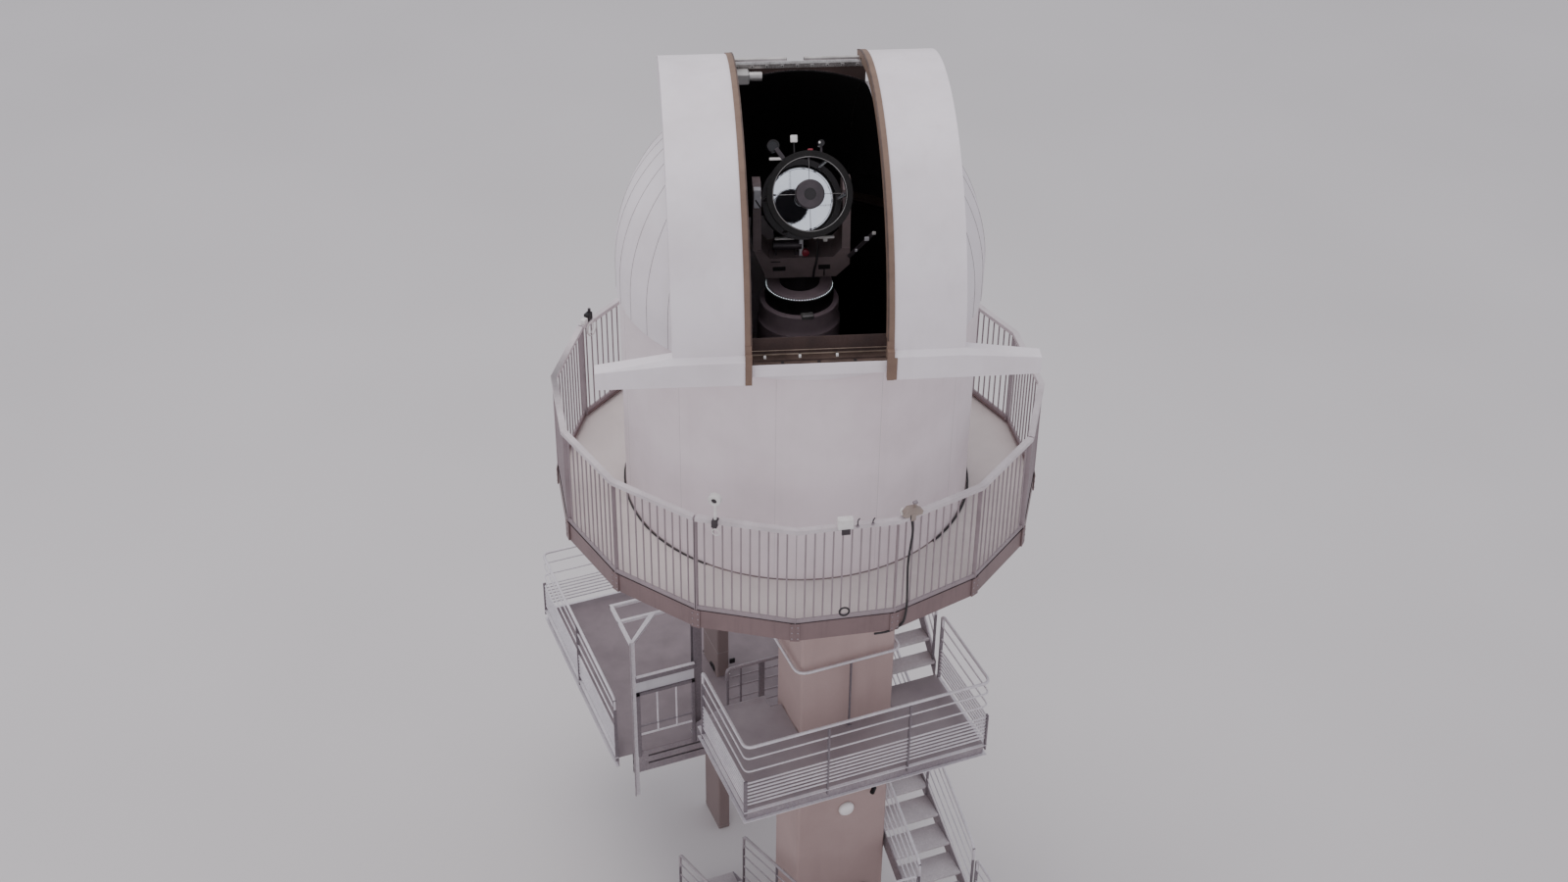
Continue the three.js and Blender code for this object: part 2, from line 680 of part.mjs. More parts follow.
function domeRing() {
  const inner = DOME_R - SHELL;
  const ring = turned([
    [TRACK_R, RING_SOLE], [inner, RING_SOLE], [inner, DOME_BOTTOM], [DOME_R, DOME_BOTTOM],
    [DOME_R, DOME_CENTRE - GAP], [DOME_R - 40, DOME_CENTRE - GAP], [DOME_R - 40, RING_SOLE + 30],
    [TRACK_R, RING_SOLE + 30], [TRACK_R, RING_SOLE],
  ], 48);
  const panel = box(-SLIT_HALF + 20, SLIT_HALF - 20, -DOME_R - 40, -DOME_R * 0.92, ...SLIT_SILL);
  return join([ring, panel.subtract(disc(DOME_R - 5, 2000, 3000, 48))]);
}
place('dome_ring', domeRing(), 'white', domeGroup);

// Guide rails that the leaves ride on
function upperRail() {
  const parts = [box(-RAIL_REACH, RAIL_REACH, railY - RAIL_HALF, railY + RAIL_HALF,
    railZ - RAIL_HALF, railZ + RAIL_HALF)];
  const outside = domeBody(DOME_R + GAP);
  [-1050, -780, 780, 1050].forEach((x) => {
    const foot = box(x - 20, x + 20, railY - 16, railY + 16, railZ - 700, railZ);
    parts.push(foot.subtract(outside));
  });
  return join(parts);
}
place('upper_rail', upperRail(), 'steel', domeGroup);

const LOWER_RAIL_Z = 2560;
const LOWER_RAIL_Y = -1890;
function lowerRail() {
  const rail = box(-RAIL_REACH, RAIL_REACH, LOWER_RAIL_Y, LOWER_RAIL_Y + 50,
    LOWER_RAIL_Z - 25, LOWER_RAIL_Z + 25);
  const skirt = disc(DOME_R + GAP, 2000, 3000, 48);
  const feet = [-1000, -700, 700, 1000].map((x) => box(x - 20, x + 20, LOWER_RAIL_Y + 40, -1000,
    LOWER_RAIL_Z - 60, LOWER_RAIL_Z - 20).subtract(skirt));
  return join([rail, ...feet]);
}
place('lower_rail', lowerRail(), 'steel', domeGroup);

const gearMotor = box(-600, -330, railY - 150, railY - RAIL_HALF - GAP, railZ - 130, railZ - 12);
place('gear_motor', gearMotor, 'steel', domeGroup);

// Shutter leaf: arched skin, outer cheek, rear end plate, and the box arm at its foot
function sector(r0, r1, a0, a1, steps) {
  const points = [];
  for (let k = 0; k <= steps; k += 1) {
    const a = radians(a0 + (a1 - a0) * k / steps);
    points.push([-r1 * Math.cos(a), DOME_CENTRE + r1 * Math.sin(a)]);
  }
  for (let k = steps; k >= 0; k -= 1) {
    const a = radians(a0 + (a1 - a0) * k / steps);
    points.push([-r0 * Math.cos(a), DOME_CENTRE + r0 * Math.sin(a)]);
  }
  return points.reverse();
}

const SKIN = 20;
const CHEEK_R = 1640;
const LEAF_OUTER = LEAF_INNER + LEAF_WIDTH;
const LEAF_FOOT = 2.5;
const ARM_PLATE = 10;
const ARM_BEVEL = 47;

// The arm's outline seen from the front, less a plate's thickness
function armBody(inset) {
  const endX = inset > 0 ? LEAF_INNER - 20 : LEAF_INNER;
  const front = -ARM_FRONT + inset;
  const back = -ARM_FRONT + ARM_DEPTH + (inset > 0 ? 10 : 0);
  const top = ARM_TOP - inset;
  const slant = ARM_BEVEL + 0.41 * inset;
  const face = prismY([
    [endX, ARM_BOTTOM + inset], [ARM_REACH - inset, ARM_BOTTOM + 10 + inset],
    [ARM_REACH - inset, ARM_END_TOP - inset], [LEAF_OUTER, top], [endX, top],
  ], front - 10, back + 10);
  const shoulder = ARM_TOP - slant;
  const profile = prismX([
    [front, 2000], [back, 2000], [back, shoulder + back - front], [front, shoulder],
  ], 0, 3000);
  return face.intersect(profile);
}

const GUIDE_R = 1840;
const TUBE_RADIUS = 18;
function guideAt(side) {
  const a = radians(side > 0 ? 114 : 116.3);
  return [-GUIDE_R * Math.cos(a), DOME_CENTRE + GUIDE_R * Math.sin(a)];
}

function leaf(side) {
  const skin = prismX(sector(LEAF_R - SKIN, LEAF_R, LEAF_FOOT, LEAF_END, 22), LEAF_INNER, LEAF_OUTER);
  const cheek = prismX(sector(CHEEK_R, LEAF_R - 5, LEAF_FOOT, LEAF_END, 22),
    LEAF_OUTER - 15, LEAF_OUTER);
  const endPlate = prismX(sector(1780, LEAF_R - 5, LEAF_END - 0.5, LEAF_END, 2),
    LEAF_INNER, LEAF_OUTER);
  const notch = box(LEAF_OUTER - 40, LEAF_OUTER + 10, railY - 50, railY + 50, railZ - 400,
    railZ + 50);
  const aboveArm = box(LEAF_INNER - 10, LEAF_OUTER + 10, -ARM_FRONT - 10, -1500, 2300, ARM_TOP - 12);
  const upper = cut(join([skin, cheek, endPlate]), [notch, aboveArm]);
  const [y, z] = guideAt(side);
  const guide = bar([75, y, z], [LEAF_INNER + 200, y, z], TUBE_RADIUS, 8);
  const hanger = box(LEAF_INNER + 60, LEAF_INNER + 90, y - 8, y + 8, z, z + 90)
    .intersect(prismX(sector(1700, LEAF_R - 5, 100, LEAF_END, 8), LEAF_INNER, LEAF_OUTER));
  const runners = [];
  [LEAF_INNER + 40, LEAF_OUTER - 100].forEach((x) => {
    const top = box(x, x + 60, railY - 30, railY + 30, railZ + RAIL_HALF + GAP, railZ + 200);
    runners.push(top.intersect(prismX(sector(1700, LEAF_R - 5, 100, LEAF_END, 8), x, x + 60)));
    runners.push(box(x, x + 60, -ARM_FRONT + ARM_PLATE - 2, LOWER_RAIL_Y - GAP,
      LOWER_RAIL_Z - 20, LOWER_RAIL_Z + 20));
  });
  const arm = armBody(0).subtract(armBody(ARM_PLATE));
  const whole = join([upper, arm, guide, hanger, ...runners]);
  return side > 0 ? whole : whole.mirror([1, 0, 0]);
}

function seal(side) {
  const x0 = LEAF_INNER - SEAL_WIDTH;
  const x1 = LEAF_INNER - GAP;
  const band = prismX(sector(1800, LEAF_R + 15, -2, LEAF_END, 22), x0, x1);
  const foot = box(x0, x1, -ARM_FRONT - 12, -1840, ARM_BOTTOM - 40, ARM_TOP + 20);
  const tools = [
    box(0, 900, railY - 36, railY + 36, railZ - 90, railZ + 36),
    box(0, 900, LOWER_RAIL_Y - 12, -1000, LOWER_RAIL_Z - 80, LOWER_RAIL_Z + 40),
  ];
  [-1, 1].forEach((owner) => {
    const [y, z] = guideAt(owner);
    const room = TUBE_RADIUS + (owner === side ? 1 : 6);
    tools.push(bar([0, y, z], [900, y, z], room, 12));
  });
  const whole = cut(join([band, foot]), tools);
  return side > 0 ? whole : whole.mirror([1, 0, 0]);
}
place('leaf_left', leaf(-1), 'white', domeGroup);
place('leaf_right', leaf(1), 'white', domeGroup);
place('seal_left', seal(-1), 'tan', domeGroup);
place('seal_right', seal(1), 'tan', domeGroup);

// Telescope fork: round base, plate and two arms
const ARM_X = 380;
const ARM_OUT = 457;
const PLATE_LOW = 2430;
const PLATE_HIGH = 2645;
function fork() {
  const base = disc(317, FORK_BASE, PLATE_LOW + 1, 32);
  const low = PLATE_LOW;
  const high = PLATE_HIGH;
  const plate = prismY([
    [-330, low], [330, low], [ARM_OUT, low + 130], [ARM_OUT, high], [ARM_X, high + 90],
    [ARM_X - 80, high], [80 - ARM_X, high], [-ARM_X, high + 90], [-ARM_OUT, high],
    [-ARM_OUT, low + 130],
  ], -190, 190);
  const arms = [-1, 1].map((side) => prismX([
    [-170, high - 10], [170, high - 10], [120, TILT_AXIS + 160], [60, TILT_AXIS + 225],
    [-60, TILT_AXIS + 225], [-120, TILT_AXIS + 160],
  ], side < 0 ? -ARM_OUT : ARM_X, side < 0 ? -ARM_X : ARM_OUT));
  return join([base, plate, ...arms]);
}
place('telescope_fork', fork(), 'black', forkGroup);

// Telescope tube, in its own frame: it looks towards -Y, the tilt axis is X
const TUBE_FRONT = 1030;
const CELL = [-100, 160];
const TUBE_R = 370;
const FRONT_RING = [323, 385];
const MIRROR_BACK = 25;

function ringAlongY(r0, r1, y0, y1, sides) {
  return tube(r0, r1, 0, y1 - y0, sides).rotate([90, 0, 0]).translate([0, y1, 0]);
}

function tubeFrame() {
  const parts = [
    ringAlongY(...FRONT_RING, -TUBE_FRONT, -TUBE_FRONT + 60, 24),
    ringAlongY(TUBE_R - 50, TUBE_R, ...CELL, 24),
    disc(TUBE_R - 45, 0, 30, 24).rotate([90, 0, 0]).translate([0, MIRROR_BACK + GAP + 30, 0]),
  ];
  for (let k = 0; k < 6; k += 1) {
    const a = radians(60 * k);
    const r = TUBE_R - 25;
    parts.push(bar([r * Math.cos(a), -TUBE_FRONT + 30, r * Math.sin(a)],
      [r * Math.cos(a), CELL[0] + 20, r * Math.sin(a)], 18, 4));
  }
  [-1, 1].forEach((side) => {
    parts.push(bar([side * (TUBE_R - 25), 0, 0], [side * (ARM_X - GAP), 0, 0], 55, 16));
  });
  return join(parts);
}
place('tube_frame', tubeFrame(), 'black', tubeGroup);
place('primary_mirror', disc(300, 0, 50, 32).rotate([90, 0, 0]).translate([0, MIRROR_BACK, 0]),
  'glass', tubeGroup);

function secondary() {
  const parts = [disc(130, 0, 120, 24).rotate([90, 0, 0]).translate([0, -TUBE_FRONT + 90, 0])];
  for (let k = 0; k < 4; k += 1) {
    const vane = box(100, FRONT_RING[0] - 2 * GAP, -TUBE_FRONT + 10, -TUBE_FRONT + 50, -3, 3);
    parts.push(vane.rotate([0, 90 * k, 0]));
  }
  return join(parts);
}
place('secondary_mirror', secondary(), 'black', tubeGroup);

const FINDER_R = 535;
const FINDER_TURN = [0, -35, 0];
const finderFoot = box(-20, 20, -TUBE_FRONT + 15, -TUBE_FRONT + 80, FRONT_RING[0], FINDER_R - 20)
  .rotate(FINDER_TURN)
  .subtract(disc(FRONT_RING[1] + GAP, 0, 400, 24).rotate([90, 0, 0]).translate([0, -800, 0]));
const finderTube = bar([0, -TUBE_FRONT + 70, FINDER_R], [0, -620, FINDER_R], 55, 12);
const finder = join([finderTube.rotate(FINDER_TURN), finderFoot]);
place('finder', finder, 'black', tubeGroup);

export default group;
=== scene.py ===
"""Looks of the observatory dome: surfaces, fine parts, light and camera. Lengths are in millimetres
inside the shape helpers and become metres when a piece is made."""

import math
from contextlib import contextmanager
from itertools import product

import bmesh
import bpy
from mathutils import Matrix, Vector


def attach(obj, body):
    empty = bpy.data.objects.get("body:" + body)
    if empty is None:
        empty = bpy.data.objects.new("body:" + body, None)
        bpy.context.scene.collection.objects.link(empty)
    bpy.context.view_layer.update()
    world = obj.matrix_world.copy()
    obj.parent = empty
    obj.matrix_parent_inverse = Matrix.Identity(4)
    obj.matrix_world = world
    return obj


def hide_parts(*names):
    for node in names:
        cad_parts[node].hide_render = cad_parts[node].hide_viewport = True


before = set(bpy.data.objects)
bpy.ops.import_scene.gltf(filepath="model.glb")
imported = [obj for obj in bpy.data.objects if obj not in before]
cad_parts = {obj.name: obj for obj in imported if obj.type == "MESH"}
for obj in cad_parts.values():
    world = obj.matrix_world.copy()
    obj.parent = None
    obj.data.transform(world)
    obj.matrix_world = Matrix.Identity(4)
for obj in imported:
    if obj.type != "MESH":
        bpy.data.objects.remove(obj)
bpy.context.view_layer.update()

# Levels and sizes, as in the model. GAP is the play between parts that touch
GAP = 0.3
ORIGIN = (0, 0, 0)
DECK = 7064
SLAB_LOW = DECK - 160
KERB = DECK + 48
RAIL_TOP = DECK + 1144
FLIGHT_RISE = 1312
BACK_LANDING = 2 * FLIGHT_RISE
UPPER_LANDING = 3 * FLIGHT_RISE
WALKWAY = 4914
DOME_CENTRE = 2560
DOME_R = 1750
DOME_BOTTOM = 2315
SKIN = 14
SILL_HALF = 628
TRACK_R = 1590
DRUM_R = 1725
DRUM_WALL = 60
DRUM_TOP = DECK + DOME_BOTTOM - 25
SLIT_TURN = -17.2
TELESCOPE_TURN = -17.7
TELESCOPE_TILT = 32
TILT_AXIS = 3162
HATCH_R0 = 1770
HATCH_TURN = 146.25
PIER = (-116, 970, -530, 142)
COLUMN = (-125, 20, 2020, 2520)


# Materials

def srgb(r, g, b):
    def lin(v):
        v /= 255
        return v / 12.92 if v <= 0.04045 else ((v + 0.055) / 1.055) ** 2.4
    return (lin(r), lin(g), lin(b), 1)


class Nodes:
    """A material's node tree. A value that a method takes is a number, a colour or a node's output."""

    def __init__(self, name):
        self.mat = bpy.data.materials.new(name)
        self.mat.use_nodes = True
        self.tree = self.mat.node_tree
        self.shader = self.tree.nodes["Principled BSDF"]
        self.place = self.add("ShaderNodeTexCoord").outputs["Object"]

    def feed(self, socket, value):
        if isinstance(value, bpy.types.NodeSocket):
            self.tree.links.new(value, socket)
        else:
            socket.default_value = value

    def add(self, kind, inputs=None, **settings):
        node = self.tree.nodes.new(kind)
        for key, value in settings.items():
            setattr(node, key, value)
        for key, value in (inputs or {}).items():
            self.feed(node.inputs[key], value)
        return node

    def noise(self, scale, detail=3, stretch=(1, 1, 1), rough=0.55):
        mapping = self.add("ShaderNodeMapping", {"Scale": stretch, "Vector": self.place})
        return self.add("ShaderNodeTexNoise", {"Scale": scale, "Detail": detail, "Roughness": rough,
                                               "Vector": mapping.outputs["Vector"]}).outputs["Fac"]

    def spread(self, value, low, high, out_low=0.0, out_high=1.0):
        return self.add("ShaderNodeMapRange", {"Value": value, "From Min": low, "From Max": high,
                                               "To Min": out_low, "To Max": out_high}).outputs["Result"]

    def mix(self, factor, a, b):
        return self.add("ShaderNodeMix", {"Factor": factor, 6: a, 7: b}, data_type="RGBA").outputs[2]

    def times(self, value, factor):
        return self.add("ShaderNodeMath", {0: value, 1: factor}, operation="MULTIPLY").outputs[0]

    def bump(self, height, strength, distance):
        node = self.add("ShaderNodeBump", {"Strength": strength, "Distance": distance, "Height": height})
        self.feed(self.shader.inputs["Normal"], node.outputs["Normal"])

    def finish(self, colour, rough, metal=0.0):
        for key, value in (("Base Color", colour), ("Roughness", rough), ("Metallic", metal)):
            self.feed(self.shader.inputs[key], value)
        return self.mat


def weathered(name, base, dirty, rough=(0.35, 0.55), streak=0.5, bump=0.05, scale=1.0):
    """A painted or moulded face: soft patches, faint rain streaks and a fine uneven gloss."""
    n = Nodes(name)
    patches = n.spread(n.noise(1.3 * scale, 4), 0.42, 0.72)
    streaks = n.spread(n.noise(9 * scale, 3, (1, 1, 0.09)), 0.52, 0.8)
    fine = n.noise(60 * scale, 3)
    tint = n.mix(patches, base, n.mix(0.35, base, dirty))
    colour = n.mix(n.times(streaks, streak), tint, dirty)
    n.bump(fine, bump, 0.002)
    return n.finish(colour, n.spread(fine, 0.3, 0.7, *rough))


def galvanised(name, base, dark, metal=0.55):
    """Hot-dip zinc: crystal patches of slightly different grey, dulled."""
    n = Nodes(name)
    cells = n.add("ShaderNodeTexVoronoi", {"Scale": 55, "Vector": n.place})
    shade = n.spread(cells.outputs["Color"], 0.0, 1.0)
    cloud = n.spread(n.noise(2.5, 4), 0.35, 0.7)
    tint = n.mix(shade, base, n.mix(0.5, base, dark))
    colour = n.mix(n.spread(cloud, 0, 1, 0, 0.6), tint, dark)
    n.bump(n.noise(90, 2), 0.08, 0.001)
    return n.finish(colour, n.spread(shade, 0, 1, 0.42, 0.62), metal)


def chequered(name, base, dark):
    """Zinc-coated floor plate with raised lozenges."""
    n = Nodes(name)
    lozenge = n.add("ShaderNodeMapping", {"Rotation": (0, 0, math.radians(45)), "Vector": n.place})
    squares = n.add("ShaderNodeTexChecker", {"Scale": 26, "Vector": lozenge.outputs["Vector"]})
    cloud = n.spread(n.noise(2.5, 4), 0.35, 0.7)
    n.bump(squares.outputs["Fac"], 0.12, 0.002)
    return n.finish(n.mix(cloud, base, dark), n.spread(cloud, 0, 1, 0.45, 0.65), 0.2)


def concrete(name, base, dark, light):
    """Cast concrete: cloudy patches, pores, stains that run down."""
    n = Nodes(name)
    clouds = n.spread(n.noise(1.1, 5), 0.35, 0.68)
    stains = n.spread(n.noise(5, 4, (1, 1, 0.12)), 0.52, 0.78)
    pores = n.spread(n.noise(85, 2), 0.62, 0.72)
    colour = n.mix(n.times(stains, 0.14), n.mix(clouds, base, light), dark)
    colour = n.mix(n.spread(pores, 0, 1, 0, 0.3), colour, dark)
    n.bump(n.noise(38, 5, rough=0.65), 0.25, 0.004)
    return n.finish(colour, n.spread(clouds, 0, 1, 0.8, 0.92))


def satin(name, base, other, rough=(0.35, 0.5), metal=0.0):
    """A dark or plain coat with a little cloud and grain."""
    n = Nodes(name)
    cloud = n.spread(n.noise(6, 3), 0.35, 0.7)
    fine = n.noise(70, 3)
    n.bump(fine, 0.08, 0.001)
    return n.finish(n.mix(cloud, base, other), n.spread(fine, 0.3, 0.7, *rough), metal)


def glowing(name, colour, strength):
    """A small lamp's face, lit from within, with a slightly uneven tint."""
    n = Nodes(name)
    cloud = n.spread(n.noise(20, 2), 0.3, 0.7)
    n.shader.inputs["Emission Color"].default_value = colour
    n.shader.inputs["Emission Strength"].default_value = strength
    cooler = tuple(v * 0.8 for v in colour[:3]) + (1,)
    return n.finish(n.mix(cloud, colour, cooler), 0.4)


SHELL = weathered("gel_coat", srgb(234, 225, 230), srgb(196, 184, 186), streak=0.12)
DRUM = weathered("drum_coat", srgb(232, 218, 222), srgb(196, 180, 182), streak=0.12)
DECKING = weathered("deck_coat", srgb(210, 199, 196), srgb(172, 160, 157), rough=(0.6, 0.8), streak=0.05,
                    bump=0.2)
ZINC = galvanised("zinc", srgb(176, 166, 170), srgb(128, 118, 124))
ZINC_FLOOR = chequered("zinc_floor", srgb(160, 149, 152), srgb(147, 136, 140))
# Painted shade: the same chequered zinc as the front floors, darkened for the shade on the back landing under
# the gallery
SHADED_BACK_FLOOR = chequered("back_floor_painted_shade", srgb(131, 118, 122), srgb(119, 107, 111))
CONCRETE = concrete("concrete", srgb(170, 146, 142), srgb(138, 116, 113), srgb(181, 157, 153))
# Painted shade: the pier's concrete darkened for the shade that the slim column stands in under the gallery
SHADED_CONCRETE = concrete("concrete_painted_shade", srgb(128, 111, 109), srgb(104, 89, 87), srgb(136, 119, 117))
# Painted shade: the railing's bars, posts and bottom bar carry the cap's white paint, drawn much darker for
# the shade they show
SHADED_BAR_PAINT = weathered("bar_coat_painted_shade", srgb(152, 138, 142), srgb(112, 99, 102), streak=0.25, scale=2.5)
CAP_PAINT = weathered("cap_coat", srgb(206, 196, 199), srgb(150, 138, 140), streak=0.2, scale=2.5)
# Painted shade: the edge plate is white paint, drawn in this dark pinkish grey for the shade on its outer
# face
SHADED_EDGE_PAINT = weathered("edge_plate_painted_shade", srgb(124, 102, 102), srgb(96, 77, 77), streak=0.4, scale=2.5)
TAN = satin("seal_tan", srgb(126, 102, 88), srgb(117, 94, 81), (0.6, 0.8))
RAIL_BROWN = satin("rail_brown", srgb(92, 74, 66), srgb(66, 51, 46), (0.45, 0.65), 0.2)
# Painted shade: a dark brown put on the skirt's inner faces, a strip behind the sill and a plate under the
# upper rail, where the inside lies in shade
SHADE_BROWN = satin("painted_shade_brown", srgb(64, 46, 42), srgb(52, 37, 34), (0.6, 0.8))
# Pale, partly metallic strips along the sill, lighter than the brown rail strips
PALE_RAIL = satin("rail_pale", srgb(168, 150, 136), srgb(128, 110, 98), (0.3, 0.5), 0.5)
BLACK_LINING = satin("black_lining", srgb(22, 18, 18), srgb(12, 10, 10), (0.8, 0.95))
BLACK = satin("black_coat", srgb(40, 36, 38), srgb(26, 23, 25), (0.38, 0.55), 0.3)
DARK_GREY = satin("dark_grey_coat", srgb(70, 62, 66), srgb(52, 46, 50), (0.4, 0.55), 0.3)
STEEL = satin("bare_steel", srgb(176, 172, 170), srgb(128, 122, 120), (0.22, 0.4), 0.9)
ALLOY = satin("cast_alloy", srgb(190, 186, 184), srgb(150, 145, 143), (0.4, 0.55), 0.6)
WHITE_PLASTIC = satin("white_plastic", srgb(228, 224, 222), srgb(205, 199, 196), (0.35, 0.5))
RED = satin("red_knob", srgb(170, 60, 74), srgb(130, 38, 52), (0.35, 0.5))
LAMP_GLASS = satin("lamp_glass", srgb(248, 243, 242), srgb(236, 229, 228), (0.2, 0.35))
LED = glowing("led_white", (0.82, 0.95, 1.0, 1), 1.6)
MIRROR = satin("mirror_face", srgb(240, 243, 248), srgb(232, 236, 243), (0.02, 0.04), 1.0)
JOINT = satin("joint_line", srgb(158, 150, 149), srgb(140, 132, 131), (0.6, 0.8))
# Painted shade: the tone of the deck in shade, for the thin dark line round the drum's foot
DRUM_FOOT_SHADE = satin("drum_foot_painted_shade", srgb(134, 118, 118), srgb(118, 103, 103), (0.6, 0.8))
DARK_GLASS = satin("dark_glass", srgb(30, 27, 32), srgb(20, 18, 23), (0.06, 0.12))
SENSOR = satin("sensor_tan", srgb(158, 143, 134), srgb(138, 123, 115), (0.4, 0.6))
# Painted shade: the rail zinc made darker for the guards of the lowest flight, which lie in shade
SHADED_RAIL = galvanised("zinc_guard_painted_shade", srgb(178, 168, 172), srgb(146, 136, 141), metal=0.3)
FAINT_JOINT = satin("faint_joint_line", srgb(200, 192, 192), srgb(186, 178, 178), (0.6, 0.8))
PANEL = weathered("panel_coat", srgb(206, 203, 208), srgb(160, 154, 158), (0.35, 0.55), streak=0.2)
FORK = satin("fork_coat", srgb(130, 114, 115), srgb(116, 101, 102), (0.4, 0.55), 0.1)
PEDESTAL = satin("pedestal_coat", srgb(184, 161, 168), srgb(170, 148, 155), (0.5, 0.65))
# Paler than the plain zinc: partly the tubes' own tone and partly painted highlight for the light that the
# rails and channel lips catch
TUBE_RAIL = galvanised("zinc_rail", srgb(226, 220, 224), srgb(190, 183, 189), metal=0.25)
POST = galvanised("zinc_post", srgb(138, 129, 134), srgb(108, 99, 105), metal=0.35)
# Lighter than the stringers' zinc: partly painted light for the lit tops of the treads
TREAD = galvanised("zinc_tread", srgb(214, 206, 208), srgb(184, 175, 178), metal=0.2)
HOSE = satin("black_hose", srgb(46, 42, 44), srgb(34, 30, 32), (0.5, 0.7))


# Shapes: every call adds faces to the piece under construction

class Piece:
    def __init__(self, name, body, slot, replaces=(), place=None):
        self.name, self.body, self.slot, self.replaced = name, body, slot, replaces
        self.place, self.turn = place or Matrix.Identity(4), Matrix.Identity(4)
        self.mats, self.verts, self.faces, self.kinds, self.smooth = [], [], [], [], []


def begin(*about, **more):
    global piece
    piece = Piece(*about, **more)


def built(*about, **more):
    """Begins a piece, runs the shape function under this line at once and makes the mesh."""
    def run(shape):
        begin(*about, **more)
        shape()
        make()
    return run


@contextmanager
def turned(*moves):
    """Shapes made inside this block are moved as told."""
    kept = piece.turn
    for move in moves:
        piece.turn = piece.turn @ move
    yield
    piece.turn = kept


def put(points, faces, mat, smooth=False):
    start = len(piece.verts)
    whole = piece.place @ piece.turn
    piece.verts += [whole @ Vector(p) for p in points]
    cover(start, faces, mat, smooth)
    return start


def cover(start, faces, mat, smooth=False):
    """Faces over points that are there already, counted from start."""
    if mat not in piece.mats:
        piece.mats.append(mat)
    for face in faces:
        piece.faces.append([start + i for i in face])
        piece.kinds.append(piece.mats.index(mat))
        piece.smooth.append(smooth)


def box(x0, x1, y0, y1, z0, z1, mat, c=2.0):
    """A box with its edges chamfered by c."""
    c = min(c, (x1 - x0) / 3, (y1 - y0) / 3, (z1 - z0) / 3)
    corners = list(product((0, 1), repeat=3))
    points, index, faces = [], {}, []
    for s in corners:
        corner = [(x0, x1)[s[0]], (y0, y1)[s[1]], (z0, z1)[s[2]]]
        for axis in range(3):
            index[(*s, axis)] = len(points)
            points.append([corner[i] + (0 if i == axis else (1, -1)[s[i]] * c) for i in range(3)])
    for axis in range(3):
        a, b = [i for i in range(3) if i != axis]

        def at(side, u, v, facing):
            key = [0, 0, 0]
            key[axis], key[a], key[b] = side, u, v
            return index[(*key, facing)]
        for side in (0, 1):
            faces.append([at(side, u, v, axis) for u, v in ((0, 0), (1, 0), (1, 1), (0, 1))])
        for u, v in product((0, 1), repeat=2):
            faces.append([at(0, u, v, a), at(0, u, v, b), at(1, u, v, b), at(1, u, v, a)])
    faces += [[index[(*s, i)] for i in range(3)] for s in corners]
    put(points, faces, mat)


def prism(outline, low, high, axis, mat):
    """An outline carried along an axis. The outline's two numbers are the other axes in order."""
    n = len(outline)
    points = [[*p[:axis], w, *p[axis:]] for w in (low, high) for p in outline]
    faces = [list(range(n)), list(range(n, 2 * n))]
    faces += [[i, (i + 1) % n, n + (i + 1) % n, n + i] for i in range(n)]
    put(points, faces, mat)


def tube(path, r, mat, sides=12, bend=0.0, closed=False):
    """A round bar along a path, its corners rounded to the bend radius."""
    path = rounded([Vector(p) for p in path], bend, closed)
    n = len(path)
    points, faces, side = [], [], None
    for i, p in enumerate(path):
        a = (p - path[i - 1]).normalized() if i > 0 or closed else None
        b = (path[(i + 1) % n] - p).normalized() if i < n - 1 or closed else None
        corner = a is not None and b is not None
        way = (a + b).normalized() if corner else b if a is None else a
        stretch = 1 / max(0.35, math.sqrt((1 + a.dot(b)) / 2)) if corner else 1.0
        if side is None:
            side = way.orthogonal().normalized()
        side = (side - way * side.dot(way)).normalized()
        other = way.cross(side)
        hinge = (a - b).normalized() if corner and (a - b).length > 1e-4 else None
        for k in range(sides):
            t = 2 * math.pi * k / sides
            off = side * math.cos(t) * r + other * math.sin(t) * r
            if hinge is not None:
                off += hinge * off.dot(hinge) * (stretch - 1)
            points.append(p + off)
    for i in range(n if closed else n - 1):
        j = (i + 1) % n
        for k in range(sides):
            m = (k + 1) % sides
            faces.append([i * sides + k, i * sides + m, j * sides + m, j * sides + k])
    first = put(points, faces, mat, True)
    if not closed:
        cover(first, [list(range(sides)), list(range((n - 1) * sides, n * sides))], mat)


def lathe(profile, mat, start=0.0, end=360.0, steps=96, mats=None):
    """A closed profile of radius and height turned about Z, from one angle to another.
    Angles count from -Y towards +X. mats names a material for each edge of the profile."""
    whole = end - start >= 360
    n = len(profile)
    count = steps if whole else steps + 1
    points = []
    for i in range(count):
        a = math.radians(start + (end - start) * i / steps)
        points += [(r * math.sin(a), -r * math.cos(a), z) for r, z in profile]
    first = put(points, [], mat)
    for e in range(n):
        f = (e + 1) % n
        if profile[e][0] == 0 and profile[f][0] == 0:
            continue
        rows = [(i * n, (i + 1) % count * n) for i in range(steps)]
        faces = [[i + e, j + e, j + f, i + f] for i, j in rows]
        cover(first, faces, mats[e] if mats else mat, True)
    if not whole:
        cover(first, [list(range(n)), list(range((count - 1) * n, count * n))], mat)


def turned_about(axis, profile, centre, mat, steps=32):
    """A closed profile turned about a line through centre along axis 0, 1 or 2. Heights run
    towards +X, -Y or +Z."""
    lay = Matrix.Rotation(math.pi / 2 if axis < 2 else 0, 4, "YXZ"[axis])
    with turned(Matrix.Translation(centre), lay):
        lathe(profile, mat, steps=steps)


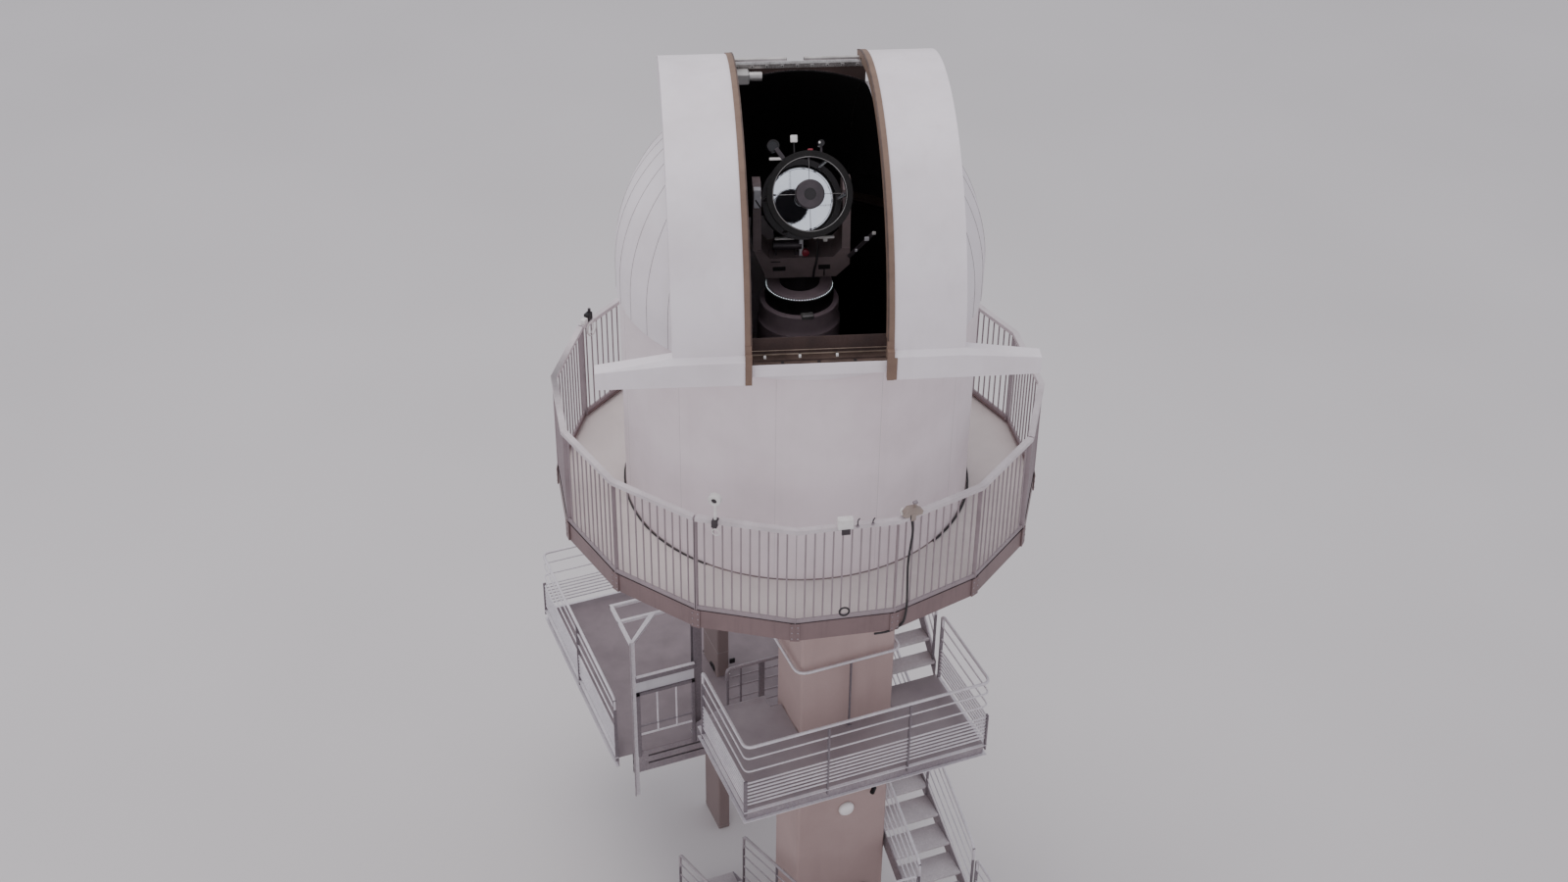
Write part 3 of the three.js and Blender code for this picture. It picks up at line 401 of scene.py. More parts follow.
def welded(points, dist):
    """The piece as a mesh with its materials, and as a bmesh with its equal points joined."""
    mesh = bpy.data.meshes.new(piece.name)
    mesh.from_pydata(points, [], piece.faces)
    for mat in piece.mats:
        mesh.materials.append(mat)
    mesh.polygons.foreach_set("material_index", piece.kinds)
    mesh.polygons.foreach_set("use_smooth", piece.smooth)
    bm = bmesh.new()
    bm.from_mesh(mesh)
    bmesh.ops.remove_doubles(bm, verts=bm.verts, dist=dist)
    bmesh.ops.recalc_face_normals(bm, faces=bm.faces)
    return mesh, bm


def hand_over(mesh, bm):
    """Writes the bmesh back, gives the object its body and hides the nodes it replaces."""
    bm.to_mesh(mesh)
    bm.free()
    mesh.set_sharp_from_angle(angle=math.radians(32))
    obj = bpy.data.objects.new(piece.name, mesh)
    bpy.context.scene.collection.objects.link(obj)
    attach(obj, piece.body)
    if piece.replaced:
        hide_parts(*piece.replaced)


def make():
    mesh, bm = welded([v * 0.001 for v in piece.verts], 0.00002)
    loose = [v for v in bm.verts if not v.link_faces]
    bmesh.ops.delete(bm, geom=loose, context="VERTS")
    hand_over(mesh, bm)


def rounded(path, bend, closed):
    """The path with each corner drawn as a curve of five points."""
    if bend <= 0:
        return path
    out = []
    n = len(path)
    for i, p in enumerate(path):
        u, v = path[i - 1] - p, path[(i + 1) % n] - p
        open_end = not closed and i in (0, n - 1)
        if open_end or u.normalized().dot(v.normalized()) < -0.999:
            out.append(p)
            continue
        reach = min(bend, u.length * 0.45, v.length * 0.45)
        p0, p1 = p + u.normalized() * reach, p + v.normalized() * reach
        for k in range(5):
            t = k / 4
            out.append(p0 * (1 - t) ** 2 + p * 2 * t * (1 - t) + p1 * t * t)
    return out


def polar(r, degrees, z):
    a = math.radians(degrees)
    return Vector((r * math.sin(a), -r * math.cos(a), z))


def about_z(degrees):
    return Matrix.Rotation(math.radians(degrees), 4, "Z")


IN_DOME = Matrix.Translation((0, 0, DECK)) @ about_z(SLIT_TURN)
IN_FORK = Matrix.Translation((0, 0, DECK)) @ about_z(TELESCOPE_TURN)
IN_TUBE = IN_FORK @ Matrix.Translation((0, 0, TILT_AXIS)) @ Matrix.Rotation(
    -math.radians(TELESCOPE_TILT), 4, "X")


# Dome shell, cut from a full shell by the slit's planes

SLIT_HALF = 640
RAIL_ANGLE = math.radians(109)
RAIL_Y = -1800 * math.cos(RAIL_ANGLE)
RAIL_Z = DOME_CENTRE + 1800 * math.sin(RAIL_ANGLE)
SLIT_BACK = RAIL_Y - 24


def cut_shell(name, node, *planes):
    """A part of the full shell. Each plane is a point and the way in which all is cut off."""
    def quarter(r):
        angles = [math.pi / 2 * i / 28 for i in range(28)]
        return [(r * math.cos(a), DOME_CENTRE + r * math.sin(a)) for a in angles]
    r = DOME_R - SKIN
    outer = [*quarter(DOME_R), (0, DOME_CENTRE + DOME_R)]
    inner = [(0, DOME_CENTRE + r), *quarter(r)[::-1]]
    mats = [SHELL] * len(outer) + [BLACK_LINING] * (len(inner) - 1) + [SHELL]
    begin(name, "dome", "white_shell", (node,))
    lathe(outer + inner, SHELL, steps=144, mats=mats)
    mesh, bm = welded(piece.verts, 0.01)
    for point, normal in planes:
        parts = bm.verts[:] + bm.edges[:] + bm.faces[:]
        done = bmesh.ops.bisect_plane(bm, geom=parts, plane_co=point, plane_no=normal, clear_outer=True)
        edges = [e for e in done["geom_cut"] if isinstance(e, bmesh.types.BMEdge)]
        filled = bmesh.ops.triangle_fill(bm, edges=edges, use_dissolve=True)
        for face in filled["geom"]:
            if isinstance(face, bmesh.types.BMFace):
                face.smooth = False
                face.material_index = 1 if normal[1] else 0
    bmesh.ops.transform(bm, matrix=Matrix.Scale(0.001, 4) @ IN_DOME, verts=bm.verts)
    hand_over(mesh, bm)


cut_shell("shell_left", "dome_shell_left", ((-SLIT_HALF, 0, 0), (1, 0, 0)))
cut_shell("shell_right", "dome_shell_right", ((SLIT_HALF, 0, 0), (-1, 0, 0)))
cut_shell("shell_back", "dome_shell_back", ((-SLIT_HALF + GAP, 0, 0), (-1, 0, 0)),
          ((SLIT_HALF - GAP, 0, 0), (1, 0, 0)), ((0, SLIT_BACK, 0), (0, -1, 0)))


@built("gore_seams", "dome", "white_shell", place=IN_DOME)
def gore_seams():
    """Raised joints between the dome's gores, ten degrees apart, down to the skirt's lower edge."""
    r = DOME_R + 0.6
    for turn in range(2, 362, 10):
        points = []
        for i in range(41):
            a = math.radians(88 * i / 40)
            p = polar(r * math.cos(a), turn, DOME_CENTRE + r * math.sin(a))
            if not (abs(p.x) < SLIT_HALF + 6 and p.y < SLIT_BACK + 6):
                points.append(p)
        if points and points[0].z - DOME_CENTRE < 1:
            points.insert(0, polar(r, turn, DOME_BOTTOM + 6))
        if points:
            tube(points, 2.2, JOINT, sides=6)


@built("skirt", "dome", "white_shell", ("dome_ring",), IN_DOME)
def dome_ring():
    inner, face = DOME_R - SKIN, -DOME_R
    profile = [(TRACK_R, 2335), (inner, 2335), (inner, DOME_BOTTOM), (DOME_R - 2, DOME_BOTTOM),
               (DOME_R, DOME_BOTTOM + 2), (DOME_R, DOME_CENTRE - GAP), (DOME_R - 40, DOME_CENTRE - GAP),
               (DOME_R - 40, 2365), (TRACK_R, 2365)]
    # The skirt's inner faces in SHADE_BROWN are painted shade
    mats = [SHADE_BROWN, SHELL, SHELL, SHELL, SHELL, BLACK_LINING, BLACK_LINING, RAIL_BROWN, SHADE_BROWN]
    lathe(profile, SHELL, steps=144, mats=mats)
    prism([(face - 40, 2480), (face - 40, 2572), (face + 8, 2572), (face + 8, 2385), (face - 1, 2385)],
          -SILL_HALF, SILL_HALF, 0, SHELL)
    # The tall SHADE_BROWN strip behind the sill is a dark sheet standing for shade, that is painted shade
    strips = ((-46, -39, 2492, 2574, RAIL_BROWN, 2), (-46, 50, 2571, 2576, RAIL_BROWN, 1),
              (41, 50, 2366, 2750, SHADE_BROWN, 2), (24, 42, 2576, 2587, PALE_RAIL, 2),
              (34, 42, 2614, 2622, PALE_RAIL, 2))
    for y0, y1, z0, z1, mat, c in strips:
        box(-SILL_HALF, SILL_HALF, face + y0, face + y1, z0, z1, mat, c)
    for x in (-470, -160, 170):
        box(x - 12, x + 12, face - 30, face - 10, 2575, 2604, WHITE_PLASTIC, 3)
        tube([(x, face - 20, 2598), (x, face + 30, 2590)], 5, STEEL, 8)


# Shutter leaves

LEAF_INNER, LEAF_OUTER, LEAF_R, LEAF_END = 655, 1287, 1903, 118
ARM_FRONT, ARM_BACK, ARM_BOTTOM, ARM_TOP, ARM_REACH, ARM_END_TOP = -1950, -1810, 2420, 2700, 1965, 2600


def on_arc(r, degrees):
    a = math.radians(degrees)
    return (-r * math.cos(a), DOME_CENTRE + r * math.sin(a))


def strip(r0, r1, a0, a1, x0, x1, steps, outer_mat, inner_mat=None):
    """A curved plate between two radii, smooth along its arc, from x0 to x1."""
    inner_mat = inner_mat or outer_mat
    points = []
    for i in range(steps + 1):
        a = a0 + (a1 - a0) * i / steps
        for r in (r0, r1):
            y, z = on_arc(r, a)
            points += [(x0, y, z), (x1, y, z)]
    outer_faces, inner_faces, edges = [], [], []
    for i in range(steps):
        a, b = i * 4, (i + 1) * 4
        inner_faces.append([a, a + 1, b + 1, b])
        outer_faces.append([a + 2, a + 3, b + 3, b + 2])
        edges.append([a, b, b + 2, a + 2])
        edges.append([a + 1, b + 1, b + 3, a + 3])
    first = put(points, outer_faces, outer_mat, True)
    cover(first, inner_faces, inner_mat, True)
    cover(first, edges, outer_mat)
    last = steps * 4
    cover(first, [[0, 1, 3, 2], [last, last + 1, last + 3, last + 2]], outer_mat)


def leaf(side, name, body):
    begin(f"{name}_panels", body, "white_shell", (name,), IN_DOME @ Matrix.Scale(side, 4, (1, 0, 0)))
    foot = 4.2
    strip(LEAF_R - 20, LEAF_R, foot, LEAF_END, LEAF_INNER, LEAF_OUTER, 72, SHELL, BLACK_LINING)
    notch0, notch1 = 106.9, 111.1
    strip(1640, LEAF_R - 5, foot, notch0, LEAF_OUTER - 15, LEAF_OUTER, 60, SHELL)
    strip(1640, LEAF_R - 5, notch1, LEAF_END, LEAF_OUTER - 15, LEAF_OUTER, 6, SHELL)
    strip(1868, LEAF_R - 5, notch0, notch1, LEAF_OUTER - 15, LEAF_OUTER, 4, SHELL)
    strip(1780, LEAF_R - 5, LEAF_END - 0.6, LEAF_END, LEAF_INNER, LEAF_OUTER, 2, SHELL)
    arm()
    own = 114 if side > 0 else 116.3
    y, z = on_arc(1840, own)  # the guide tube's place
    tube([(78, y, z), (LEAF_INNER + 200, y, z)], 18, ALLOY, 20)
    tube([(75, y, z), (80, y, z)], 14, BLACK, 16)
    for x in (LEAF_INNER + 40, LEAF_OUTER - 100):
        box(x, x + 60, RAIL_Y - 30, RAIL_Y + 30, RAIL_Z + 24.4, RAIL_Z + 60, STEEL, 2)
        box(x, x + 60, ARM_FRONT + 9, -1890.4, 2540, 2580, STEEL, 2)
    make()


def arm():
    """The box arm, open at its back, with a slanted ledge along the front's upper edge."""
    bevel, plate = 47, 10
    stations = [(LEAF_INNER, ARM_TOP, ARM_BOTTOM), (LEAF_OUTER, ARM_TOP, ARM_BOTTOM + 4.9),
                (ARM_REACH, ARM_END_TOP, ARM_BOTTOM + 10)]
    points = []
    for x, top, low in stations:
        cut = max(0.5, bevel * (1 - max(0, ARM_TOP - top) / 100))
        ring = [(ARM_BACK, low), (ARM_FRONT, low), (ARM_FRONT, top - cut), (ARM_FRONT + cut, top),
                (ARM_BACK, top), (ARM_BACK, top - plate), (ARM_FRONT + cut + 4, top - plate),
                (ARM_FRONT + plate, top - cut - 4), (ARM_FRONT + plate, low + plate), (ARM_BACK, low + plate)]
        points += [(x, y, z) for y, z in ring]
    n = len(ring)
    faces = [[s + e, s + (e + 1) % n, n + s + (e + 1) % n, n + s + e] for s in (0, n) for e in range(n)]
    put(points, [*faces, list(range(n)), [2 * n + i for i in range(5)]], SHELL)


def seal(side, name, body):
    begin(f"{name}_strip", body, "seal_rubber", (name,), IN_DOME @ Matrix.Scale(side, 4, (1, 0, 0)))
    x0, x1 = LEAF_INNER - 60, LEAF_INNER - GAP
    low, high = 1800, LEAF_R + 11
    strip(low, high, 7, 107.6, x0, x1, 72, TAN)
    strip(1845, high, 107.6, 110.4, x0, x1, 4, TAN)
    for a0, a1 in ((110.4, 113.2), (114.8, 115.5), (117.1, LEAF_END)):
        strip(low, high, a0, a1, x0, x1, 3, TAN)
    for a0, a1 in ((113.2, 114.8), (115.5, 117.1)):
        strip(low, 1815, a0, a1, x0, x1, 2, TAN)
        strip(1865, high, a0, a1, x0, x1, 2, TAN)
    strip(high - 4, high + 2, 7, LEAF_END - 0.2, x0 - 3, x0 + 10, 72, RAIL_BROWN)
    if side > 0:
        box(x1 - 2, x1 + 26, -1962, -1950.4, 2426, 2652, TAN, 2)
    prism([(-1962, 2424), (-1902.5, 2424), (-1902.5, 2600.5), (-1840, 2600.5), (-1840, 2795),
           (-1903, 2795), (-1916, 2725), (-1962, 2720)], x0, x1, 0, TAN)
    make()


for part, kind in ((leaf, "leaf"), (seal, "seal")):
    part(-1, f"{kind}_left", "shutter_left")
    part(1, f"{kind}_right", "shutter_right")


# Guide rails and the gear motor

RAIL_HALF = 1265


@built("guide_rail_upper", "dome", "bare_steel", ("upper_rail",), IN_DOME)
def upper_rail():
    box(-RAIL_HALF, RAIL_HALF, RAIL_Y - 24, RAIL_Y + 24, RAIL_Z - 24, RAIL_Z + 24, STEEL, 3)
    for x in (-1050, -780, 780, 1050):
        ground = DOME_CENTRE + math.sqrt(DOME_R ** 2 - x * x - RAIL_Y ** 2)
        box(x - 20, x + 20, RAIL_Y - 16, RAIL_Y + 16, ground - 6, RAIL_Z - 22, STEEL, 2)
    floor = [(x, DOME_CENTRE + math.sqrt(1748 ** 2 - RAIL_Y ** 2 - x * x)) for x in range(-640, 641, 80)]
    # Dark plate between the rail and the shell: painted shade under the rail
    prism([(640, RAIL_Z - 23), (-640, RAIL_Z - 23), *floor], RAIL_Y - 20, RAIL_Y - 12, 1, SHADE_BROWN)
    for x in range(-560, 561, 140):
        box(x - 16, x + 16, RAIL_Y - 30, RAIL_Y - 23, RAIL_Z - 14, RAIL_Z + 14, ALLOY, 2)
        tube([(x, RAIL_Y - 36, RAIL_Z), (x, RAIL_Y - 28, RAIL_Z)], 6, BLACK, 8)


@built("guide_rail_lower", "dome", "bare_steel", ("lower_rail",), IN_DOME)
def lower_rail():
    box(-RAIL_HALF, RAIL_HALF, -1890, -1840, 2535, 2585, SHELL, 2)
    box(-RAIL_HALF, RAIL_HALF, -1886, -1842, 2584, 2586, RAIL_BROWN, 0.6)
    box(-590, 590, -1889.5, -1884, 2462, 2536, SHELL, 1.5)
    for x in (-1000, -700, 700, 1000):
        box(x - 20, x + 20, -1850, -math.sqrt(DOME_R ** 2 - x * x) + 4, 2500, 2540, STEEL, 2)
    for k, x in enumerate(range(-480, 481, 160)):
        box(x - 14, x + 14, -1876, -1850, 2585, 2592, (RAIL_BROWN, BLACK)[k % 2], 2)


@built("gear_motor_housing", "dome", "bare_steel", ("gear_motor",), IN_DOME)
def gear_motor():
    back = RAIL_Y - 24 - GAP
    y, z = back - 60, RAIL_Z - 70
    box(-600, -450, back - 125, back, RAIL_Z - 130, RAIL_Z - 12, ALLOY, 14)
    ribs = [(-440 + 18 * k, -434 + 18 * k, 46, ALLOY) for k in range(6)]
    for x0, x1, r, mat in [(-452, -332, 42, ALLOY), (-333, -330, 34, BLACK), *ribs]:
        tube([(x0, y, z), (x1, y, z)], r, mat, 24)


# Drum with its door, roller track, and the floors

@built("drum_wall", "tower", "white_shell",
       ("drum_wall_front", "drum_wall_right", "drum_wall_back", "drum_wall_left", "drum_door"))
def drum():
    low, r0, r1 = DECK + GAP, DRUM_R - DRUM_WALL, DRUM_R
    half = math.degrees(math.asin(400 / DRUM_R))
    sill, head = DECK + 120, DECK + 2070

    def wall(z0, z1, a, b, steps):
        lathe([(r0, z0), (r1, z0), (r1, z1), (r0, z1)], DRUM, a, b, steps, [DRUM, DRUM, DRUM, BLACK_LINING])
    wall(low, DRUM_TOP, 180 + half, 540 - half, 132)
    wall(low, sill, 180 - half, 180 + half, 12)
    wall(head, DRUM_TOP, 180 - half, 180 + half, 12)
    inset = 0.12
    door = [(r0 + 10, sill + 1), (r1 - 10, sill + 1), (r1 - 10, head - 1), (r0 + 10, head - 1)]
    lathe(door, DRUM, 180 - half + inset, 180 + half - inset, 12)
    for z in (DECK + 420, DECK + 1770):
        tube([(-372, 1716, z - 60), (-372, 1716, z + 60)], 10, STEEL, 12)
    tube([(318, 1700, DECK + 1060), (318, 1722, DECK + 1060), (250, 1722, DECK + 1060)], 9, STEEL, 12, 12)
    for k in range(11):
        a = 3.53 + 360 / 11 * k
        tube([polar(DRUM_R - 0.6, a, DECK + 30), polar(DRUM_R - 0.6, a, DRUM_TOP - 4)], 1.6, FAINT_JOINT, 6)


@built("roller_track", "tower", "bare_steel", ("track_ring",))
def track():
    low, high = DRUM_TOP + GAP, DECK + DOME_BOTTOM - 5
    lathe([(TRACK_R, low), (DRUM_R, low), (DRUM_R, high), (TRACK_R, high)], STEEL, steps=120,
          mats=[BLACK, DRUM, BLACK, BLACK])
    axle = DECK + 2335 - GAP - 45
    for k in range(8):
        with turned(about_z(45 * (k + 0.5))):
            tube([(0, -1640, axle), (0, -1600, axle)], 45, STEEL, 32)
            tube([(0, -1646, axle), (0, -1596, axle)], 14, BLACK, 16)


# These solids need no finer mesh, so they only get their material
for name, mat in (("gallery_deck", DECKING), ("room_floor", BLACK_LINING), ("gallery_frame", CONCRETE)):
    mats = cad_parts[name].data.materials
    mats.clear()
    mats.append(mat)


# Concrete

def pillar(name, node, sides, c, mat):
    x0, x1, y0, y1 = sides
    begin(name, "tower", "concrete", (node,))
    prism([(x0 + c, y0), (x1 - c, y0), (x1, y0 + c), (x1, y1 - c), (x1 - c, y1), (x0 + c, y1), (x0, y1 - c),
           (x0, y0 + c)], 0, SLAB_LOW, 2, mat)
    make()


pillar("pier_concrete", "main_pier", PIER, 22, CONCRETE)
# The slim column gets the darker concrete, which is painted shade for its place under the gallery
pillar("column_concrete", "rear_column", COLUMN, 14, SHADED_CONCRETE)


# Gallery edge and railing

GALLERY_R, RAIL_R = 2428, 2444  # corners of the sixteen-sided edge plate and of the top rail
SIDE = 22.5  # degrees that one side takes


def plan(*points):
    """The points without their height."""
    return [p[:2] for p in points]


# The edge plate uses the darker edge paint, which is painted shade on a white plate
@built("gallery_edge", "tower", "white_paint", ("gallery_fascia",))
def fascia():
    low = KERB - 207
    for k in range(16):
        a, b, ia, ib, ja, jb = [polar(GALLERY_R - inset, SIDE * (k + end), 0) for inset in (0, 12, 40)
                                for end in (0, 1)]
        prism(plan(a, b, ib, ia), low, KERB, 2, SHADED_EDGE_PAINT)
        prism(plan(a, b, jb, ja), KERB - 6, KERB, 2, SHADED_EDGE_PAINT)
        with turned(about_z(SIDE * k)):
            box(-45, 45, -GALLERY_R - 8, -GALLERY_R + 4, low, KERB, SHADED_EDGE_PAINT, 2)
            for x, z in product((-28, 28), (low + 35, low + 105, KERB - 35)):
                tube([(x, -GALLERY_R - 13, z), (x, -GALLERY_R - 7, z)], 8, ZINC, 6)


# Bars and posts use the darker bar paint, which is painted shade; the cap is the same paint without it
def railing(name, first):
    begin(f"{name}_bars", "tower", "white_paint", (name,))
    for k in range(5):
        shift = 8 if k == 0 else -8 if k == 4 else 0
        with turned(about_z(SIDE * (first + k))):
            box(shift - 4, shift + 4, -RAIL_R + 14, -RAIL_R + 64, KERB + GAP, RAIL_TOP - 36, SHADED_BAR_PAINT, 1)
    for k in range(4):
        a0, a1 = SIDE * (first + k), SIDE * (first + k + 1)
        p, q = polar(RAIL_R - 32, a0, 0), polar(RAIL_R - 32, a1, 0)
        for j in range(1, 11):
            foot = p.lerp(q, j / 11)
            tube([foot + Vector((0, 0, DECK + 92)), foot + Vector((0, 0, RAIL_TOP - 38))], 8, SHADED_BAR_PAINT, 10)
        e0, e1 = p.lerp(q, 0.006 if k == 0 else 0.0), p.lerp(q, 0.994 if k == 3 else 1.0)
        side = (q - p).normalized()
        out = Vector((side.y, -side.x, 0)) * 9
        prism(plan(e0 + out, e1 + out, e1 - out, e0 - out), KERB + 0.5, DECK + 94, 2, SHADED_BAR_PAINT)
        s, t = a0 + (0.25 if k == 0 else 0), a1 - (0.25 if k == 3 else 0)
        for inset, low, high in ((0, RAIL_TOP - 40, RAIL_TOP - 3), (3, RAIL_TOP - 4, RAIL_TOP)):
            r0, r1 = RAIL_R - inset, RAIL_R - 64 + inset
            cap = [polar(r, a0, 0).lerp(polar(r, a1, 0), (a - a0) / SIDE)
                   for r, a in ((r0, s), (r0, t), (r1, t), (r1, s))]
            prism(plan(*cap), low, high, 2, CAP_PAINT)
    make()


for k, part in enumerate(("front", "right", "back", "left")):
    railing(f"gallery_railing_{part}", 4 * k - 2)


# Stairs: guards, edge channels and floors shared by the landings and the flights

GUARD, KNEE, CHANNEL = 920, 740, 150


def shifted(path, off):
    """A path of plan points moved sideways, its corners mitred; positive is to the left."""
    out = []
    for i, p in enumerate(path):
        ways = []
        if i > 0:
            ways.append((Vector(p) - Vector(path[i - 1])).normalized())
        if i < len(path) - 1:
            ways.append((Vector(path[i + 1]) - Vector(p)).normalized())
        sides = [Vector((-w.y, w.x)) for w in ways]
        mean = sum(sides, Vector((0, 0))).normalized()
        out.append(Vector(p) + mean * (off / mean.dot(sides[0])))
    return out


def ribbon(path, d0, d1, z0, z1, mat):
    """A bar of rectangular section along a plan path, between two sideways distances."""
    left, right = shifted(path, d0), shifted(path, d1)
    points = []
    for p, q in zip(left, right):
        points += [(*p, z0), (*q, z0), (*q, z1), (*p, z1)]
    faces = [[0, 1, 2, 3], [len(points) - 4 + i for i in range(4)]]
    for i in range(len(path) - 1):
        for k in range(4):
            m = (k + 1) % 4
            faces.append([4 * i + k, 4 * i + m, 4 * i + 4 + m, 4 * i + 4 + k])
    put(points, faces, mat)


def channel(path, z, out):
    """Edge channel with its open side outwards; out is 1 where outside lies to the left."""
    ribbon(path, -20 * out, -13 * out, z - CHANNEL + 6, z - 6, ZINC)
    ribbon(path, -20 * out, 20 * out, z - 9, z - 0.5, TUBE_RAIL)
    ribbon(path, -20 * out, 20 * out, z - CHANNEL, z - CHANNEL + 9, TUBE_RAIL)


def spots(path, spacing):
    """Post places along a plan path, with the way the path runs there."""
    out = []
    for i in range(len(path) - 1):
        a, b = Vector(path[i]), Vector(path[i + 1])
        bays = max(1, round((b - a).length / spacing))
        for j in range(0 if i == 0 else 1, bays + 1):
            corner = 0 < i + (j == bays) < len(path) - 1 and j == bays
            out.append((a.lerp(b, j / bays), (b - a).normalized(), corner))
    return out


def post(at, way, z0, z1):
    side = Vector((-way.y, way.x))
    prism([at + way * u + side * v for u, v in ((8, 19), (8, -19), (-8, -19), (-8, 19))], z0, z1, 2, POST)


def landing_guard(path, z, spacing=1150):
    """Top rail bent down at both ends, two rails under it, and seven close bars near the floor."""
    level = lambda h: [(*p, z + h) for p in path]
    tube([(*path[0], z + KNEE), *level(GUARD - 24), (*path[-1], z + KNEE)], 17, TUBE_RAIL, 12, 90)
    for up, bend in ((KNEE, 70), (560, 70), *((95 + 50.7 * k, 40) for k in range(7))):
        tube(level(up), 9.5, TUBE_RAIL, 8, bend)
    for at, way, corner in spots(path, spacing):
        post(at, way, z - 70, z + (430 if corner else GUARD - 44))
        side = Vector((-way.y, way.x)) * 19.6
        for up in (-30, -55):
            tube([(*(at - side), z + up), (*(at + side), z + up)], 7, ZINC, 6)


def floor_plate(outline, z, joists):
    prism(outline, z - 8, z, 2, ZINC_FLOOR)
    for x0, x1, y0, y1 in joists:
        box(x0, x1, y0, y1, z - 108, z - 8.5, ZINC, 2)


STAIR_LEFT, STAIR_RIGHT = -1116, 1700
RIGHT_X, LEFT_INNER = STAIR_RIGHT - 710, STAIR_LEFT + 850
FRONT, FRONT_FAR = -1430, -2330
UPPER_FOOT, LEFT_HEAD = -200, -20
EDGE, END, INSET = 20, 50, 36
BACK, BACK_FAR, BACK_WIDE = 1134, 3994, 1716


def three_sides(x0, x1, start, far, end, inset):
    """Plan points round three sides of a landing, from start past far to end, set in by inset."""
    turn = far + math.copysign(inset, start - far)
    return [(x0 + inset, start), (x0 + inset, turn), (x1 - inset, turn), (x1 - inset, end)]


@built("landing_upper", "tower", "galvanised", ("landing_front_2",))
def upper_front_landing():
    z, sides = UPPER_LANDING, (STAIR_LEFT, STAIR_RIGHT)
    left, right, near = PIER[0] - 20, PIER[1] + 20, PIER[2] - 20
    outline = three_sides(*sides, LEFT_HEAD, FRONT, UPPER_FOOT, INSET)
    outline += [(right, UPPER_FOOT), (right, near), (left, near), (left, LEFT_HEAD)]
    joists = [(x, x + 50, FRONT + 40, near - 1) for x in (-600, 120, 680, 1200)]
    joists += [(STAIR_LEFT + 45, left - 5, y, y + 50) for y in (-480, LEFT_HEAD - 60)]
    joists += [(right + 5, STAIR_RIGHT - 45, y, y + 50) for y in (-460, UPPER_FOOT - 55)]
    floor_plate(outline, z, joists)
    channel(three_sides(*sides, LEFT_HEAD, FRONT, UPPER_FOOT, EDGE), z, -1)
    landing_guard(three_sides(*sides, LEFT_HEAD - 130, FRONT, UPPER_FOOT - END, EDGE), z, 925)
    for x in (150, 700):
        box(x - 40, x + 40, PIER[2] - 60, PIER[2] - GAP, z - 290, z - 110, ZINC, 3)


@built("landing_lower", "tower", "galvanised", ("landing_front_1",))
def lower_front_landing():
    z, sides = FLIGHT_RISE, (STAIR_LEFT, STAIR_RIGHT)
    left, right = LEFT_INNER + END, RIGHT_X - END
    inner = [(left, FRONT - EDGE), (right, FRONT - EDGE)]
    outline = three_sides(*sides, FRONT, FRONT_FAR, FRONT, INSET)
    outline += [(right, FRONT), (right, FRONT - INSET), (left, FRONT - INSET), (left, FRONT)]
    floor_plate(outline, z, [(x, x + 50, FRONT_FAR + 40, FRONT - 45) for x in (-600, 60, 720, 1300)])
    channel(three_sides(*sides, FRONT, FRONT_FAR, FRONT, EDGE), z, -1)
    channel(inner, z, 1)
    landing_guard(three_sides(*sides, FRONT - END, FRONT_FAR, FRONT - END, EDGE), z)
    landing_guard(inner, z)
    for x in (150, 700):
        box(x - 40, x + 40, FRONT - 20, PIER[2] - GAP, z - CHANNEL, z - 40, ZINC, 3)


def front_beam(z):
    """Deep built-up beam along the front edge, with two long slots in its face."""
    x0, x1 = -1500, RIGHT_X - END
    # The black plate at the back shows through the two slots: painted shade inside the beam
    plates = ((x1, 32, 40, 330, 9, BLACK), (x1, 0, 40, 88, 9, ZINC), (x1, 0, 33, 203, 114, ZINC),
              (x1, 0, 33, 330, 229, ZINC), (x0 + 180, 1, 34, 329, 10, ZINC))
    for x, y0, y1, low, high, mat in plates:
        box(x0, x, BACK + y0, BACK + y1, z - low, z - high, mat, 2)


def dark_front_guard(path, z):
    """The guard beside the column: round top rail, five rails under it, a thick post at the middle. Its rails
    are the plain zinc, darker than the other guards' rail zinc: painted shade for the shade it stands in.
    """
    level = lambda h: [(*p, z + h) for p in path]
    tube([(*path[0], z + KNEE), *level(GUARD - 24), (*path[-1], z + KNEE)], 22, ZINC, 12, 60)
    for up in (760, 610, 430, 290, 150):
        tube(level(up), 11, ZINC, 8)
    for x, wide in ((-322, 10), (-160, 9), (100, 34), (560, 9), (900, 10)):
        box(x - wide, x + wide, BACK + 4, BACK + 38, z - 60, z + GUARD - 44, POST, 2)


